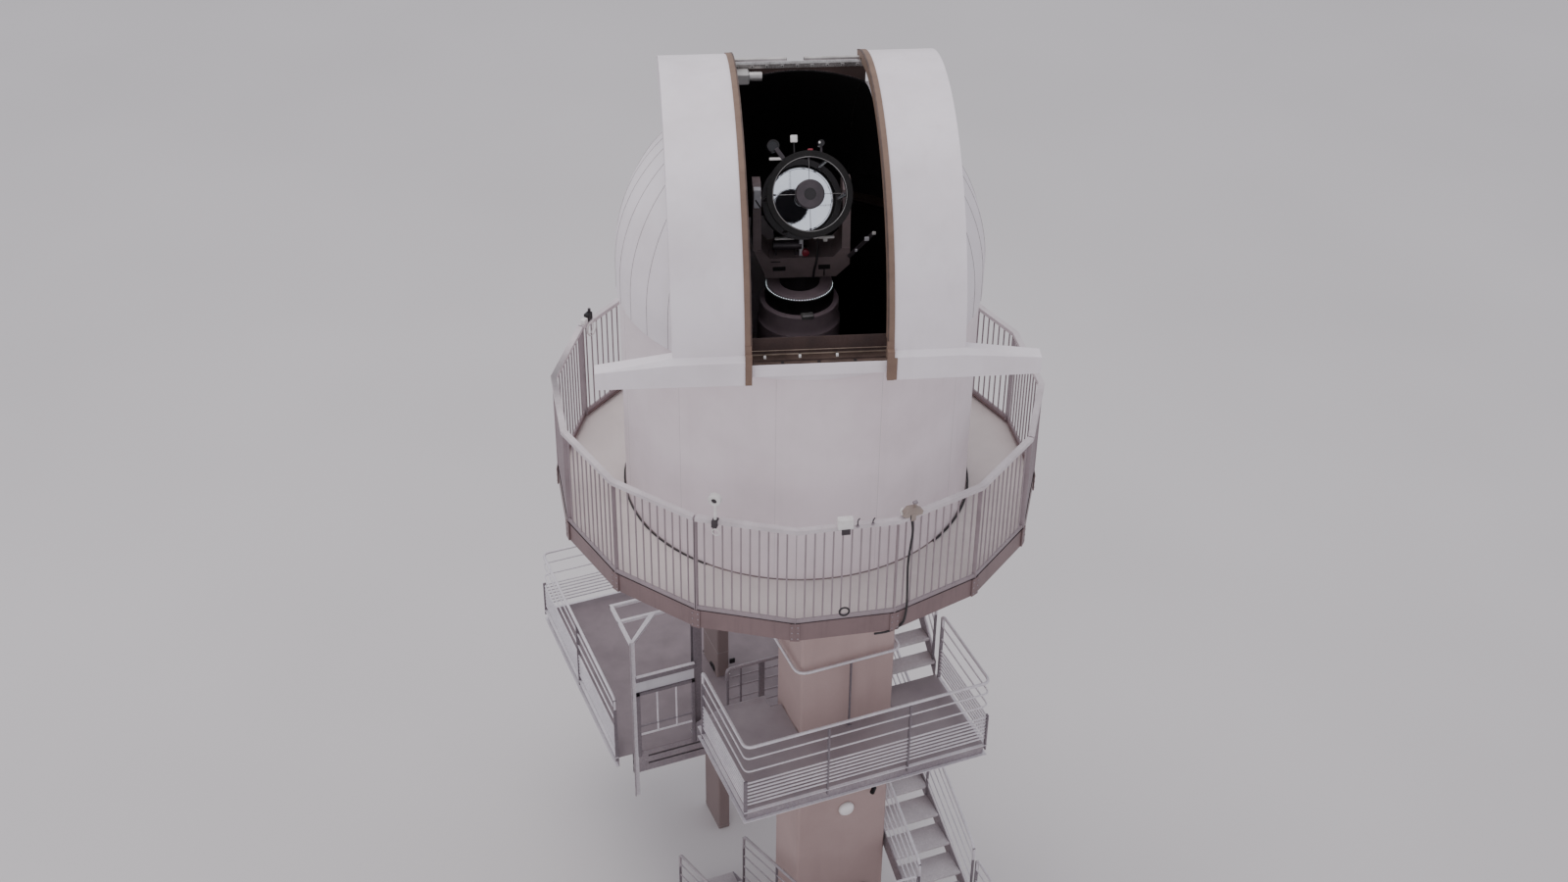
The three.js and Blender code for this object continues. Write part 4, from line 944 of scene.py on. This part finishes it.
@built("landing_rear", "tower", "galvanised", ("landing_back",))
def back_landing():
    z, sides = BACK_LANDING, (-BACK_WIDE, BACK_WIDE)
    x0, x1, y0, y1 = COLUMN[0] - 12, COLUMN[1] + 12, COLUMN[2] - 12, COLUMN[3] + 12
    right, near, far = BACK_WIDE - INSET, BACK + 1, BACK_FAR - INSET
    left = -right
    for outline in ([(left, near), (right, near), (right, y0), (left, y0)],
                    [(left, y0), (x0, y0), (x0, y1), (left, y1)],
                    [(x1, y0), (right, y0), (right, y1), (x1, y1)],
                    [(left, y1), (right, y1), (right, far), (left, far)]):
        # The back landing's plates use the darker floor, which is painted shade
        prism(outline, z - 8, z, 2, SHADED_BACK_FLOOR)
    for y in (1700, 2600, 3300):
        box(40 - BACK_WIDE, BACK_WIDE - 40, y, y + 60, z - 108, z - 8.5, ZINC, 2)
    for x in (-900, 800):
        box(x, x + 60, BACK + 45, BACK_FAR - 45, z - 140, z - 40, ZINC, 2)
    channel(three_sides(*sides, BACK, BACK_FAR, BACK, EDGE), z, 1)
    channel([(RIGHT_X, BACK + EDGE), (BACK_WIDE - 40, BACK + EDGE)], z, -1)
    front_beam(z)
    landing_guard(three_sides(*sides, BACK + EDGE, BACK_FAR, BACK + END, EDGE), z)
    dark_front_guard([(-330, BACK + EDGE), (RIGHT_X - END, BACK + EDGE)], z)
    for x in (COLUMN[0] - 60, COLUMN[1] + GAP):
        box(x, x + 59.7, COLUMN[2] + 140, COLUMN[2] + 260, z - CHANNEL, z - 9, ZINC, 3)


# Flights: stringers of plate, folded treads with ribs, guards on a slope

def flight(name, node, x0, x1, y_low, y_high, z_low, rise, risers, sides, rail_start=END, depth=240,
           rail=TUBE_RAIL, tread=TREAD):
    begin(name, "tower", "galvanised", (node,))
    ahead = 1 if y_high > y_low else -1
    low, high = y_low + ahead * GAP, y_high - ahead * GAP
    going, riser = (high - low) / risers, rise / risers
    slope = rise / (high - low)
    top = z_low + rise
    for k in range(1, risers + 1):
        nose = low + going * (k - 1)
        end = nose + going + (ahead * 20 if k < risers else 0)
        z = z_low + riser * k
        near, far = min(nose, end), max(nose, end)
        box(x0 + 13, x1 - 13, near, far, z - 5, z, tread, 1)
        for lip in ((nose, nose + ahead * 5), (end - ahead * 5, end)):
            box(x0 + 13, x1 - 13, min(lip), max(lip), z - 32, z - 4, tread, 1)
        for j in range(3):
            y = nose + ahead * (22 + 26 * j)
            box(x0 + 40, x1 - 40, y - 4, y + 4, z - 0.5, z + 2, tread, 0.6)
        for x in (x0 + 12, x1 - 18):
            box(x, x + 6, near + 30, far - 30, z - 70, z - 4.5, ZINC, 1)
    line = lambda y: z_low + riser + slope * (y - low)
    outline = [(low, max(line(low) - depth, 0)), (low, line(low)), (high - going, top), (high, top),
               (high, line(high) - depth)]
    if z_low == 0:
        outline.append((low + (depth - riser) / slope, 0))
    for x in (x0, x1 - 12):
        prism(outline, x, x + 12, 0, ZINC)
    for k in range(1, risers + 1):
        y = low + going * (k - 0.5)
        z = z_low + riser * k - 45
        for x, out in ((x0, -1), (x1, 1)):
            for dy in (-60, 60):
                tube([(x - out * 4, y + dy, z), (x + out * 5, y + dy, z)], 9, STEEL, 6)
    for side in sides:
        x = x0 + 18 if side < 0 else x1 - 18
        at = lambda y, up: (x, y, line(y) - riser / 2 + up)
        y0, y1 = low + ahead * rail_start, high - ahead * END
        ends = (at(y0, 700), at(y1, 700))
        tube([ends[0], at(y0, GUARD - 24), at(y1, GUARD - 24), ends[1]], 17.5, rail, 12, 90)
        for up in (KNEE, 560, 380, 200):
            tube([at(y0, up), at(y1, up)], 9.5, rail, 8)
        span = abs(y1 - y0)
        bays = max(1, round(span / 1150))
        for j in range(bays + 1):
            y = y0 + (y1 - y0) * j / bays
            box(x - 14, x + 14, y - 8, y + 8, at(y, -60)[2], at(y, GUARD - 44)[2], POST, 1)
    make()


# The lowest flight's guards use the shaded rail zinc, which is painted shade
flight("stair_lower", "flight_1", STAIR_LEFT, LEFT_INNER, BACK, FRONT, 0, FLIGHT_RISE, 8, (-1, 1), 400,
       rail=SHADED_RAIL)
flight("stair_middle", "flight_2", RIGHT_X, STAIR_RIGHT, FRONT, BACK, FLIGHT_RISE, FLIGHT_RISE, 8, (-1, 1))
flight("stair_steep", "flight_3", -738, -260, BACK, LEFT_HEAD, BACK_LANDING, FLIGHT_RISE, 6, (), depth=300,
       tread=ZINC_FLOOR)
flight("stair_upper", "flight_upper", RIGHT_X + 10, STAIR_RIGHT - 40, UPPER_FOOT, 700, UPPER_LANDING,
       WALKWAY - UPPER_LANDING, 5, (1,))


# Steel post, gate, hanging walkway, ladder and the rail round the pier

@built("post_section", "tower", "galvanised", ("steel_post",))
def steel_post():
    x0, x1, y0, y1 = -740, -640, BACK + 6, BACK + 106
    z0, z1 = BACK_LANDING + GAP, SLAB_LOW - GAP
    for y in (y0, y1 - 8):
        box(x0, x1, y, y + 8, z0, z1, POST, 1.5)
    box(-694, -686, y0 + 7, y1 - 7, z0, z1, POST, 1)
    box(x0 - 20, x1 + 20, y0 - 4, y1 + 20, z0, z0 + 12, ZINC, 2)
    box(x0 - 20, x1 + 20, y0 - 4, y1 + 20, z1 - 12, z1, ZINC, 2)
    for x in (x0 - 8, x1 + 8):
        for y in (y0 + 15, y1 + 5):
            tube([(x, y, z0 + 11), (x, y, z0 + 28)], 9, STEEL, 6)


@built("gate_bars", "tower", "galvanised", ("stair_gate",))
def gate():
    y, left, right, tall = BACK - GAP, -1445, -742, BACK_LANDING + 1686
    up = lambda h: BACK_LANDING + h
    box(-1500, -1494, y - 30, y, up(-680), tall, ZINC, 1.5)
    box(-1496, -1440, y - 8, y, up(-680), tall, TUBE_RAIL, 1.5)
    box(left, right, y - 34, y, up(1096), up(1166), POST, 2)
    box(left, right, y - 40, y, up(1166), up(1176), TUBE_RAIL, 1.5)
    box(left, right, y - 6, y, up(926), up(1096), PANEL, 1.5)
    box(left, right, y - 30, y, up(886), up(926), POST, 2)
    for x in (left, right - 40):
        box(x, x + 40, y - 30, y, up(-60), up(926), POST, 2)
    for x in (left + 250, left + 480):
        tube([(x, y - 15, up(270)), (x, y - 15, up(900))], 11, TUBE_RAIL, 10)
    for h, mat in ((408, POST), (278, TUBE_RAIL)):
        tube([(left + 20, y - 15, up(h)), (right - 20, y - 15, up(h))], 12, mat, 10)
    far, side, low = BACK + 716, -700, tall - 40
    box(-1500, -1460, y - 12, far, low, tall, TUBE_RAIL, 3)
    for back in (far, far - 290):
        box(-1500, side + 40, back - 40, back, low + 1, tall - 1, TUBE_RAIL, 3)
    box(side, side + 40, BACK + 106.3, far, low, tall, TUBE_RAIL, 3)
    prism([(-1498, y), (-1452, y), (-1060, BACK + 385), (-1060, BACK + 425), (-1106, BACK + 425)],
          low + 2, tall - 2, 2, TUBE_RAIL)


@built("walkway_upper", "tower", "galvanised", ("upper_walkway",))
def walkway():
    z = WALKWAY
    inner, widens, end, start = 690, 1290, 2150, 700
    near, left, right = RIGHT_X + INSET, inner + INSET, STAIR_RIGHT - INSET
    outline = [(near, start), (right, start), (right, end - INSET), (left, end - INSET),
               (left, widens + INSET), (near, widens + INSET)]
    floor_plate(outline, z, [(RIGHT_X + 40, STAIR_RIGHT - 40, y, y + 50) for y in (start + 2, 1250, 1700)])
    path = [(STAIR_RIGHT - EDGE, start + END), (STAIR_RIGHT - EDGE, end - EDGE), (inner + EDGE, end - EDGE),
            (inner + EDGE, widens + EDGE), (RIGHT_X + EDGE, widens + EDGE), (RIGHT_X + EDGE, start + END)]
    edge = [(STAIR_RIGHT - EDGE, start), *path[1:-1], (RIGHT_X + EDGE, start)]
    channel(edge, z, -1)
    landing_guard(path, z)
    for x, y in ((RIGHT_X + EDGE, 760), (RIGHT_X + EDGE, 1310), (inner + EDGE, 1310), (1690, 716)):
        box(x - 15, x + 15, y - 15, y + 15, z - CHANNEL, SLAB_LOW - GAP, POST, 2)
        box(x - 34, x + 34, y - 34, y + 34, DECK - 172, SLAB_LOW - GAP, ZINC, 2)


@built("ladder_rungs", "tower", "galvanised", ("hatch_ladder",), about_z(HATCH_TURN))
def ladder():
    r, half = HATCH_R0 + 60, 210
    for x in (-half, half):
        box(x - 8, x + 8, -r - 30, -r + 30, WALKWAY + GAP, DECK + 900, ZINC, 2)
    z = WALKWAY + 270
    while z < DECK + 100:
        tube([(-half, -r, z), (half, -r, z)], 15, TREAD, 12)
        z += 270


@built("pier_rail", "tower", "galvanised", ("pier_guard",))
def pier_guard():
    z, out = UPPER_LANDING + GUARD, 70
    x0, x1, y0 = PIER[0] - out, PIER[1] + 40, PIER[2] - out
    tube([(x0, PIER[3] - 60, z), (x0, y0, z), (x1, y0, z), (x1, PIER[2] + 160, z)], 17, TUBE_RAIL, 12, 130)
    middle = (PIER[0] + PIER[1]) / 2
    box(middle - 9, middle + 9, y0 - 12, y0 + 12, UPPER_LANDING + GAP, z, POST, 2)
    box(middle - 30, middle + 30, y0 - 30, y0 + 30, UPPER_LANDING + GAP, UPPER_LANDING + 9, ZINC, 2)


# Telescope: pedestal, fork, tube, mirrors and finder

FORK_BASE, PLATE_LOW, PLATE_HIGH, ARM_IN, ARM_OUT = 2250, 2430, 2645, 380, 457
TUBE_FRONT, TUBE_R = 1030, 370


@built("pedestal_body", "tower", "dark_paint", ("telescope_pedestal",), Matrix.Translation((0, 0, DECK)))
def pedestal():
    top, neck = FORK_BASE - 150, 330
    lathe([(0, GAP), (400, GAP), (400, 1895), (396, 1900), (382, 1948), (382, top - 8), (376, top), (0, top)],
          PEDESTAL, steps=64)
    lathe([(0, top - 1), (neck, top - 1), (neck, FORK_BASE - 2), (0, FORK_BASE - 2)], BLACK, steps=64)
    with turned(about_z(TELESCOPE_TURN + 8)):
        box(-60, 60, -390, -300, top - 20, top + 26, ALLOY, 8)


@built("led_ring", "fork", "dark_paint", place=IN_FORK)
def led_ring():
    """Small lamps round the edge of the fork's base disc."""
    for k in range(78):
        with turned(about_z(360 / 78 * k)):
            box(-3.5, 3.5, -320, -316, FORK_BASE + 5, FORK_BASE + 12, LED, 1)


@built("fork_body", "fork", "dark_paint", ("telescope_fork",), IN_FORK)
def fork():
    lathe([(0, FORK_BASE), (317, FORK_BASE), (317, FORK_BASE + 26), (312, FORK_BASE + 32),
           (0, FORK_BASE + 32)], PEDESTAL, steps=64)
    lathe([(0, FORK_BASE + 31), (190, FORK_BASE + 31), (190, PLATE_LOW + 2), (0, PLATE_LOW + 2)], BLACK,
          steps=48)
    low, high = PLATE_LOW, PLATE_HIGH
    prism([(-330, low), (330, low), (ARM_OUT, low + 130), (ARM_OUT, high + 4), (ARM_OUT, high + 90),
           (ARM_IN, high + 90), (ARM_IN - 80, high), (80 - ARM_IN, high), (-ARM_IN, high + 90),
           (-ARM_OUT, high + 90)], -182, 182, 1, FORK)
    for side in (-1, 1):
        x0, x1 = sorted((side * ARM_IN, side * ARM_OUT))
        outline = [(-168, high + 80), (168, high + 80), (120, TILT_AXIS + 160), (60, TILT_AXIS + 225),
                   (-60, TILT_AXIS + 225), (-120, TILT_AXIS + 160)]
        prism(outline, x0, x1, 0, FORK)
        face = side * ARM_OUT
        turned_about(0, [(0, -7), (105, -7), (112, -3), (112, 3), (105, 7), (0, 7)],
                     (face, 0, TILT_AXIS), BLACK, 40)
    front = -182.6
    for x0, x1, z0, z1 in ((-270, -150, 2508, 2552), (162, 272, 2514, 2562), (-290, -200, 2602, 2611)):
        box(x0, x1, front - 2, front + 8, z0, z1, BLACK_LINING, 1)
    box(210, 222, front - 3, front + 8, 2440, 2512, BLACK_LINING, 1)
    box(-452, -386, -188, -120, 3190, 3380, PANEL, 4)
    tube([(-436, -194, 3280), (-400, -194, 3215), (-392, -180, 3190)], 6, HOSE, 8, 10)
    prism([(430, 2660), (452, 2636), (690, 2896), (668, 2920)], -206, -182.6, 1, DARK_GREY)
    box(585, 628, -218, -205, 2826, 2868, PANEL, 4)
    box(655, 690, -216, -205, 2890, 2922, WHITE_PLASTIC, 3)
    box(500, 522, -218, -205, 2712, 2740, PANEL, 3)
    tube([(150, -150, 2830), (146, -196, 2640), (120, -198, 2520), (112, -196, 2436)], 11, HOSE, 10, 60)


@built("fork_fittings", "fork", "dark_paint", place=IN_FORK)
def telescope_details():
    """Things between the fork's arms in front of its plate: pale bars, a dark cylinder, a red knob."""
    box(-252, -68, -150, -120, 2822, 2840, WHITE_PLASTIC, 3)
    box(112, 308, -150, -120, 2824, 2846, WHITE_PLASTIC, 3)
    box(205, 245, -146, -120, 2790, 2826, WHITE_PLASTIC, 4)
    box(-20, 16, -146, -110, PLATE_HIGH - 2, 2850, PANEL, 4)
    box(-8, 8, -150, -120, 2845, 2874, WHITE_PLASTIC, 3)
    tube([(-262, -110, 2745), (4, -110, 2745)], 46, DARK_GREY, 24)
    tube([(-268, -110, 2745), (-258, -110, 2745)], 38, BLACK, 24)
    box(-250, -230, -130, -90, PLATE_HIGH - 2, 2720, DARK_GREY, 3)
    box(-60, -40, -130, -90, PLATE_HIGH - 2, 2720, DARK_GREY, 3)
    turned_about(1, [(0, -22), (20, -22), (34, -16), (34, 16), (20, 22), (0, 22)], (38, -160, 2688), RED, 24)
    tube([(38, -150, 2688), (38, -60, 2688)], 12, STEEL, 12)
    box(20, 56, -80, -40, PLATE_HIGH - 2, 2700, BLACK, 3)


@built("tube_rings", "telescope", "dark_paint", ("tube_frame",), IN_TUBE)
def tube_frame():
    front, inner, outer = -TUBE_FRONT, 323, 385
    along = lambda profile, mat, steps=72: turned_about(1, profile, ORIGIN, mat, steps)
    along([(inner, 1027), (inner + 3, 1030), (outer - 3, 1030), (outer, 1027), (outer, 970), (inner, 970)],
          BLACK_LINING)
    along([(inner - 0.5, 1024), (inner + 4, 1031.5), (inner + 8, 1031.5), (inner + 8, 1024)], STEEL)
    for k in range(40):
        a = 2 * math.pi * (k + 0.5) / 40
        for r, size in ((343, 6), (367, 8)):
            x, z = r * math.cos(a + r * 0.01), r * math.sin(a + r * 0.01)
            tube([(x, front - 0.8, z), (x, front + 2, z)], size, BLACK_LINING, 10)
    along([(320, -160), (TUBE_R, -160), (TUBE_R, 100), (320, 100)], BLACK)
    along([(TUBE_R - 2, 60), (TUBE_R + 3, 60), (TUBE_R + 3, 84), (TUBE_R - 2, 84)], DARK_GREY)
    along([(0, -55), (325, -55), (325, -26), (0, -26)], BLACK, 48)
    along([(0, -100), (120, -100), (140, -92), (140, -54), (0, -54)], DARK_GREY, 40)
    for k in range(6):
        a = math.radians(60 * k)
        x, z = 345 * math.cos(a), 345 * math.sin(a)
        tube([(x, front + 30, z), (x, -80, z)], 16, BLACK, 12)
        for y in (front + 58, -104):
            tube([(x, y, z), (x, y + 26, z)], 23, DARK_GREY, 12)
    for side in (-1, 1):
        tube([(side * 345, 0, 0), (side * 379.6, 0, 0)], 55, STEEL, 32)


@built("mirror_dish", "telescope", "mirror_glass", ("primary_mirror",), IN_TUBE)
def mirror():
    """The main mirror: a shallow dish with a hole at its middle."""
    r, depth, steps = 300, 5.6, 16
    dish = []
    for i in range(steps + 1):
        q = 60 + (r - 4 - 60) * i / steps
        dish.append((q, 25 - depth + depth * (q / r) ** 2))
    profile = [(60, -24.6), *dish, (r, 24), (r, -24.6)]
    mats = [BLACK] + [MIRROR] * steps + [PANEL] * 3
    with turned(Matrix.Rotation(math.pi / 2, 4, "X")):
        lathe(profile, MIRROR, steps=96, mats=mats)
    turned_about(1, [(0, -24), (59, -24), (59, 60), (48, 66), (0, 66)], ORIGIN, BLACK, 32)


@built("secondary_housing", "telescope", "dark_paint", ("secondary_mirror",), IN_TUBE)
def secondary():
    front = TUBE_FRONT
    turned_about(1, [(0, front - 90), (126, front - 90), (130, front - 84), (130, front + 20),
                     (122, front + 28), (0, front + 28)], ORIGIN, DARK_GREY, 56)
    turned_about(1, [(0, front + 27), (54, front + 27), (54, front + 30), (0, front + 30)], ORIGIN, BLACK, 40)
    for k in range(4):
        with turned(Matrix.Rotation(math.radians(90 * k), 4, "Y")):
            box(120, 322.6, -front + 12, -front + 48, -1.5, 1.5, STEEL, 0.4)
            box(300, 322.6, -front + 10, -front + 50, -8, 8, DARK_GREY, 2)


@built("finder_scope", "telescope", "dark_paint", ("finder",), IN_TUBE)
def finder():
    piece.turn = Matrix.Rotation(math.radians(-35), 4, "Y")
    centre = (0, 0, 535)
    turned_about(1, [(44, 960), (55, 960), (55, 900), (50, 894), (50, 700), (42, 660), (42, 620), (0, 620),
                     (0, 640), (36, 664), (44, 704)], centre, BLACK, 32)
    turned_about(1, [(0, 940), (43, 940), (43, 934), (0, 934)], centre, DARK_GLASS, 32)
    box(-20, 20, -TUBE_FRONT + 15, -TUBE_FRONT + 80, 386, 500, DARK_GREY, 3)


@built("tube_fittings", "telescope", "dark_paint", place=IN_TUBE)
def tube_fittings():
    """Small devices on top of the front ring: a camera on a stem and a short sighting tube."""
    y = -TUBE_FRONT + 20
    box(-158, -96, y - 20, y + 20, 458, 522, WHITE_PLASTIC, 5)
    box(-134, -120, y - 6, y + 6, 366, 460, BLACK, 2)
    tube([(114, y - 25, 447), (114, y + 120, 447)], 30, BLACK, 20)
    tube([(96, y - 27, 452), (98, y - 22, 452)], 11, WHITE_PLASTIC, 12)
    box(104, 124, y, y + 20, 366, 420, DARK_GREY, 2)
    box(-6, 40, y - 10, y + 30, 384, 400, RED, 3)
    box(-350, -232, y, y + 14, 306, 330, WHITE_PLASTIC, 3)


# Small things fixed to the pier and the gallery

def hoop(centre, r, thick, mat, turn):
    """A closed ring of round bar in an upright plane that faces -Y before it is turned."""
    spin = Matrix.Rotation(math.radians(turn), 3, "Z")
    points = []
    for k in range(20):
        a = 2 * math.pi * k / 20
        points.append(Vector(centre) + spin @ Vector((r * math.cos(a), 0, r * math.sin(a))))
    tube(points, thick, mat, 8, closed=True)


@built("pier_fittings", "tower", "white_paint")
def pier_fittings():
    face = PIER[2] - 0.2
    centre = (463, face, 2587)
    turned_about(1, [(0, 0), (84, 0), (92, 6), (92, 26), (86, 34), (0, 34)], centre, WHITE_PLASTIC, 40)
    turned_about(1, [(0, 33), (82, 33), (72, 48), (44, 58), (0, 62)], centre, LAMP_GLASS, 40)
    box(792, 842, face - 26, face, 2818, 2862, WHITE_PLASTIC, 5)
    tube([(806, face - 20, 2836), (770, face - 60, 2824)], 12, WHITE_PLASTIC, 12)
    tube([(788, face - 44, 2830), (738, face - 96, 2812)], 28, BLACK, 24)
    tube([(742, face - 92, 2813), (733, face - 101, 2810)], 24, BLACK_LINING, 24)
    left, near = COLUMN[0] - 6, COLUMN[2]
    for r, dy, dz in ((52, 0, 0), (60, 22, -14), (46, -26, 10)):
        hoop((left, 2190 + dy, 2645 + dz), r, 5, HOSE, 90)
    box(24, 92, near - 24, near - GAP, 2795, 2862, BLACK, 4)
    for z in (40, 2987):
        ring = [(COLUMN[i], COLUMN[j], z) for i, j in ((0, 2), (1, 2), (1, 3), (0, 3))]
        tube(ring, 2.5, JOINT, 6, closed=True)


@built("gallery_fittings", "tower", "white_paint")
def gallery_fittings():
    """Devices clamped to the gallery's rail."""
    top = RAIL_TOP
    with turned(about_z(-40.3)):
        y = -2405
        box(-26, 26, y - 42, y + 34, top - 62, top + 14, DARK_GREY, 4)
        tube([(0, y, top + 10), (0, y, top + 190)], 14, WHITE_PLASTIC, 12)
        head = (0, y + 30, top + 236)
        turned_about(1, [(26, 0), (52, 0), (60, 8), (60, 52), (52, 60), (26, 60)], head, WHITE_PLASTIC, 32)
        turned_about(1, [(0, 4), (27, 4), (27, 50), (0, 50)], head, DARK_GREY, 24)
    hoop(polar(2452, -39.8, top - 96), 34, 5, WHITE_PLASTIC, -39.8)
    with turned(about_z(-12.1)):
        box(-70, 70, -2446, -2380, top + 0.4, top + 112, WHITE_PLASTIC, 6)
        box(-40, 40, -2458, -2440, top - 50, top + 6, DARK_GREY, 3)
    for angle, high in ((-9.4, 66), (-6.0, 46)):
        foot = polar(2412, angle, top)
        tube([foot, foot + Vector((0, 0, high)), foot + Vector((22, 4, high + 18))], 6, DARK_GREY, 8, 20)
        tube([foot + Vector((0, 0, -4)), foot + Vector((0, 0, 12))], 16, ZINC, 10)
    with turned(about_z(3.1)):
        y = -2406
        prism([(-104, top + 30), (-60, top + 0.4), (96, top + 0.4), (104, top + 40), (40, top + 88),
               (-40, top + 96)], -2436, -2372, 1, SENSOR)
        box(-20, 30, -2440, -2434, top - 46, top + 30, SENSOR, 4)
        tube([(30, y, top + 80), (30, y, top + 132)], 14, SENSOR, 16)
        tube([(10, y, top + 130), (50, y, top + 138)], 17, ZINC, 16)
        tube([(-98, y, top + 36), (-118, y, top + 84), (-96, y, top + 112)], 9, WHITE_PLASTIC, 10, 20)
    cable = [(2429, 2.6, top + 24), (2430, 3.4, top - 160), (2430, 2.5, top - 520), (2431, 2.9, DECK + 60),
             (2431, 2.2, DECK - 120), (2424, -1.0, DECK - 172), (2405, -4.5, DECK - 176)]
    tube([polar(*spot) for spot in cable], 11, HOSE, 10, 120)
    with turned(about_z(-137.5)):
        box(-80, 10, -2425, -2365, top + 0.4, top + 84, BLACK, 8)
        box(14, 80, -2421, -2369, top + 0.4, top + 58, WHITE_PLASTIC, 6)
        tube([(-60, -2395, top + 80), (-60, -2395, top + 118)], 16, DARK_GREY, 14)
    for r, turn in ((84, -138.4), (64, -137.4)):
        hoop(polar(2356, turn, top - r - 8), r, 6, WHITE_PLASTIC, turn)
    hoop(polar(2454, -11.9, DECK + 196), 46, 9, HOSE, -11.9)


@built("foot_strip", "tower", "dark_paint", place=Matrix.Translation((0, 0, DECK)))
def foot_strip():
    """Strip along the drum's foot in painted shade, the deck's shaded tone where deck and drum meet, with a
    thicker black run at the left and at the right.
    """
    lathe([(DRUM_R + GAP, GAP), (DRUM_R + 9, GAP), (DRUM_R + 6, 9), (DRUM_R + GAP, 12)], DRUM_FOOT_SHADE, steps=132)
    for low, high, r in ((-116, -52, 7), (28, 84, 10)):
        points = [polar(DRUM_R + 11 + r + 2 * math.sin(a / 7), a, r + 0.5) for a in range(low, high + 1, 4)]
        tube(points, r, HOSE, 8)


# Floor, light and camera

def stage():
    mesh = bpy.data.meshes.new("floor")
    mesh.from_pydata([(-160, -160, 0), (160, -160, 0), (160, 160, 0), (-160, 160, 0)], [], [[0, 1, 2, 3]])
    n = Nodes("floor_pale")
    cloud = n.spread(n.noise(0.15, 2), 0.3, 0.7)
    mesh.materials.append(n.finish(n.mix(cloud, srgb(214, 208, 208), srgb(208, 202, 202)), 0.9))
    floor = bpy.data.objects.new("floor", mesh)
    bpy.context.scene.collection.objects.link(floor)

    world = bpy.data.worlds.new("studio")
    bpy.context.scene.world = world
    world.use_nodes = True
    background = world.node_tree.nodes["Background"]
    background.inputs["Color"].default_value = (0.86, 0.88, 0.95, 1)
    background.inputs["Strength"].default_value = 0.92

    def area(name, place, aim, size, power, colour):
        light = bpy.data.lights.new(name, "AREA")
        light.shape = "DISK"
        light.size, light.energy, light.color = size, power, colour
        obj = bpy.data.objects.new(name, light)
        obj.location = place
        obj.rotation_euler = (Vector(aim) - Vector(place)).to_track_quat("-Z", "Y").to_euler()
        bpy.context.scene.collection.objects.link(obj)

    area("overhead", (-4, 6, 34), (0, 0, 12), 22, 3400, (1, 0.97, 0.96))
    area("front", (-16, -23, 14), (0, 0, 10), 16, 1050, (1, 0.96, 0.95))


# The camera as fitted to the photograph: place in metres, angles in radians, focal length in pixels
EYE, EYE_TILT, EYE_ROLL, EYE_TURN = (-6.7465, -15.9588, 19.8872), 0.6224, 0.0140, math.radians(-22.5)
FOCAL_PIXELS, PHOTO_WIDTH, SENSOR_MM = 2155.9, 1600, 36


def camera():
    tilt, roll = EYE_TILT, EYE_ROLL
    forward = Vector((0, math.cos(tilt), -math.sin(tilt)))
    right = Vector((1, 0, 0))
    up = right.cross(forward)
    r2 = right * math.cos(roll) + up * math.sin(roll)
    u2 = up * math.cos(roll) - right * math.sin(roll)
    axes = Matrix((r2, u2, -forward)).transposed().to_4x4()
    cam = bpy.data.cameras.new("camera")
    cam.sensor_width = SENSOR_MM
    cam.lens = FOCAL_PIXELS / PHOTO_WIDTH * SENSOR_MM
    cam.clip_end = 400
    obj = bpy.data.objects.new("camera", cam)
    bpy.context.scene.collection.objects.link(obj)
    obj.matrix_world = Matrix.Translation(EYE) @ Matrix.Rotation(EYE_TURN, 4, "Z") @ axes
    bpy.context.scene.camera = obj


stage()
camera()
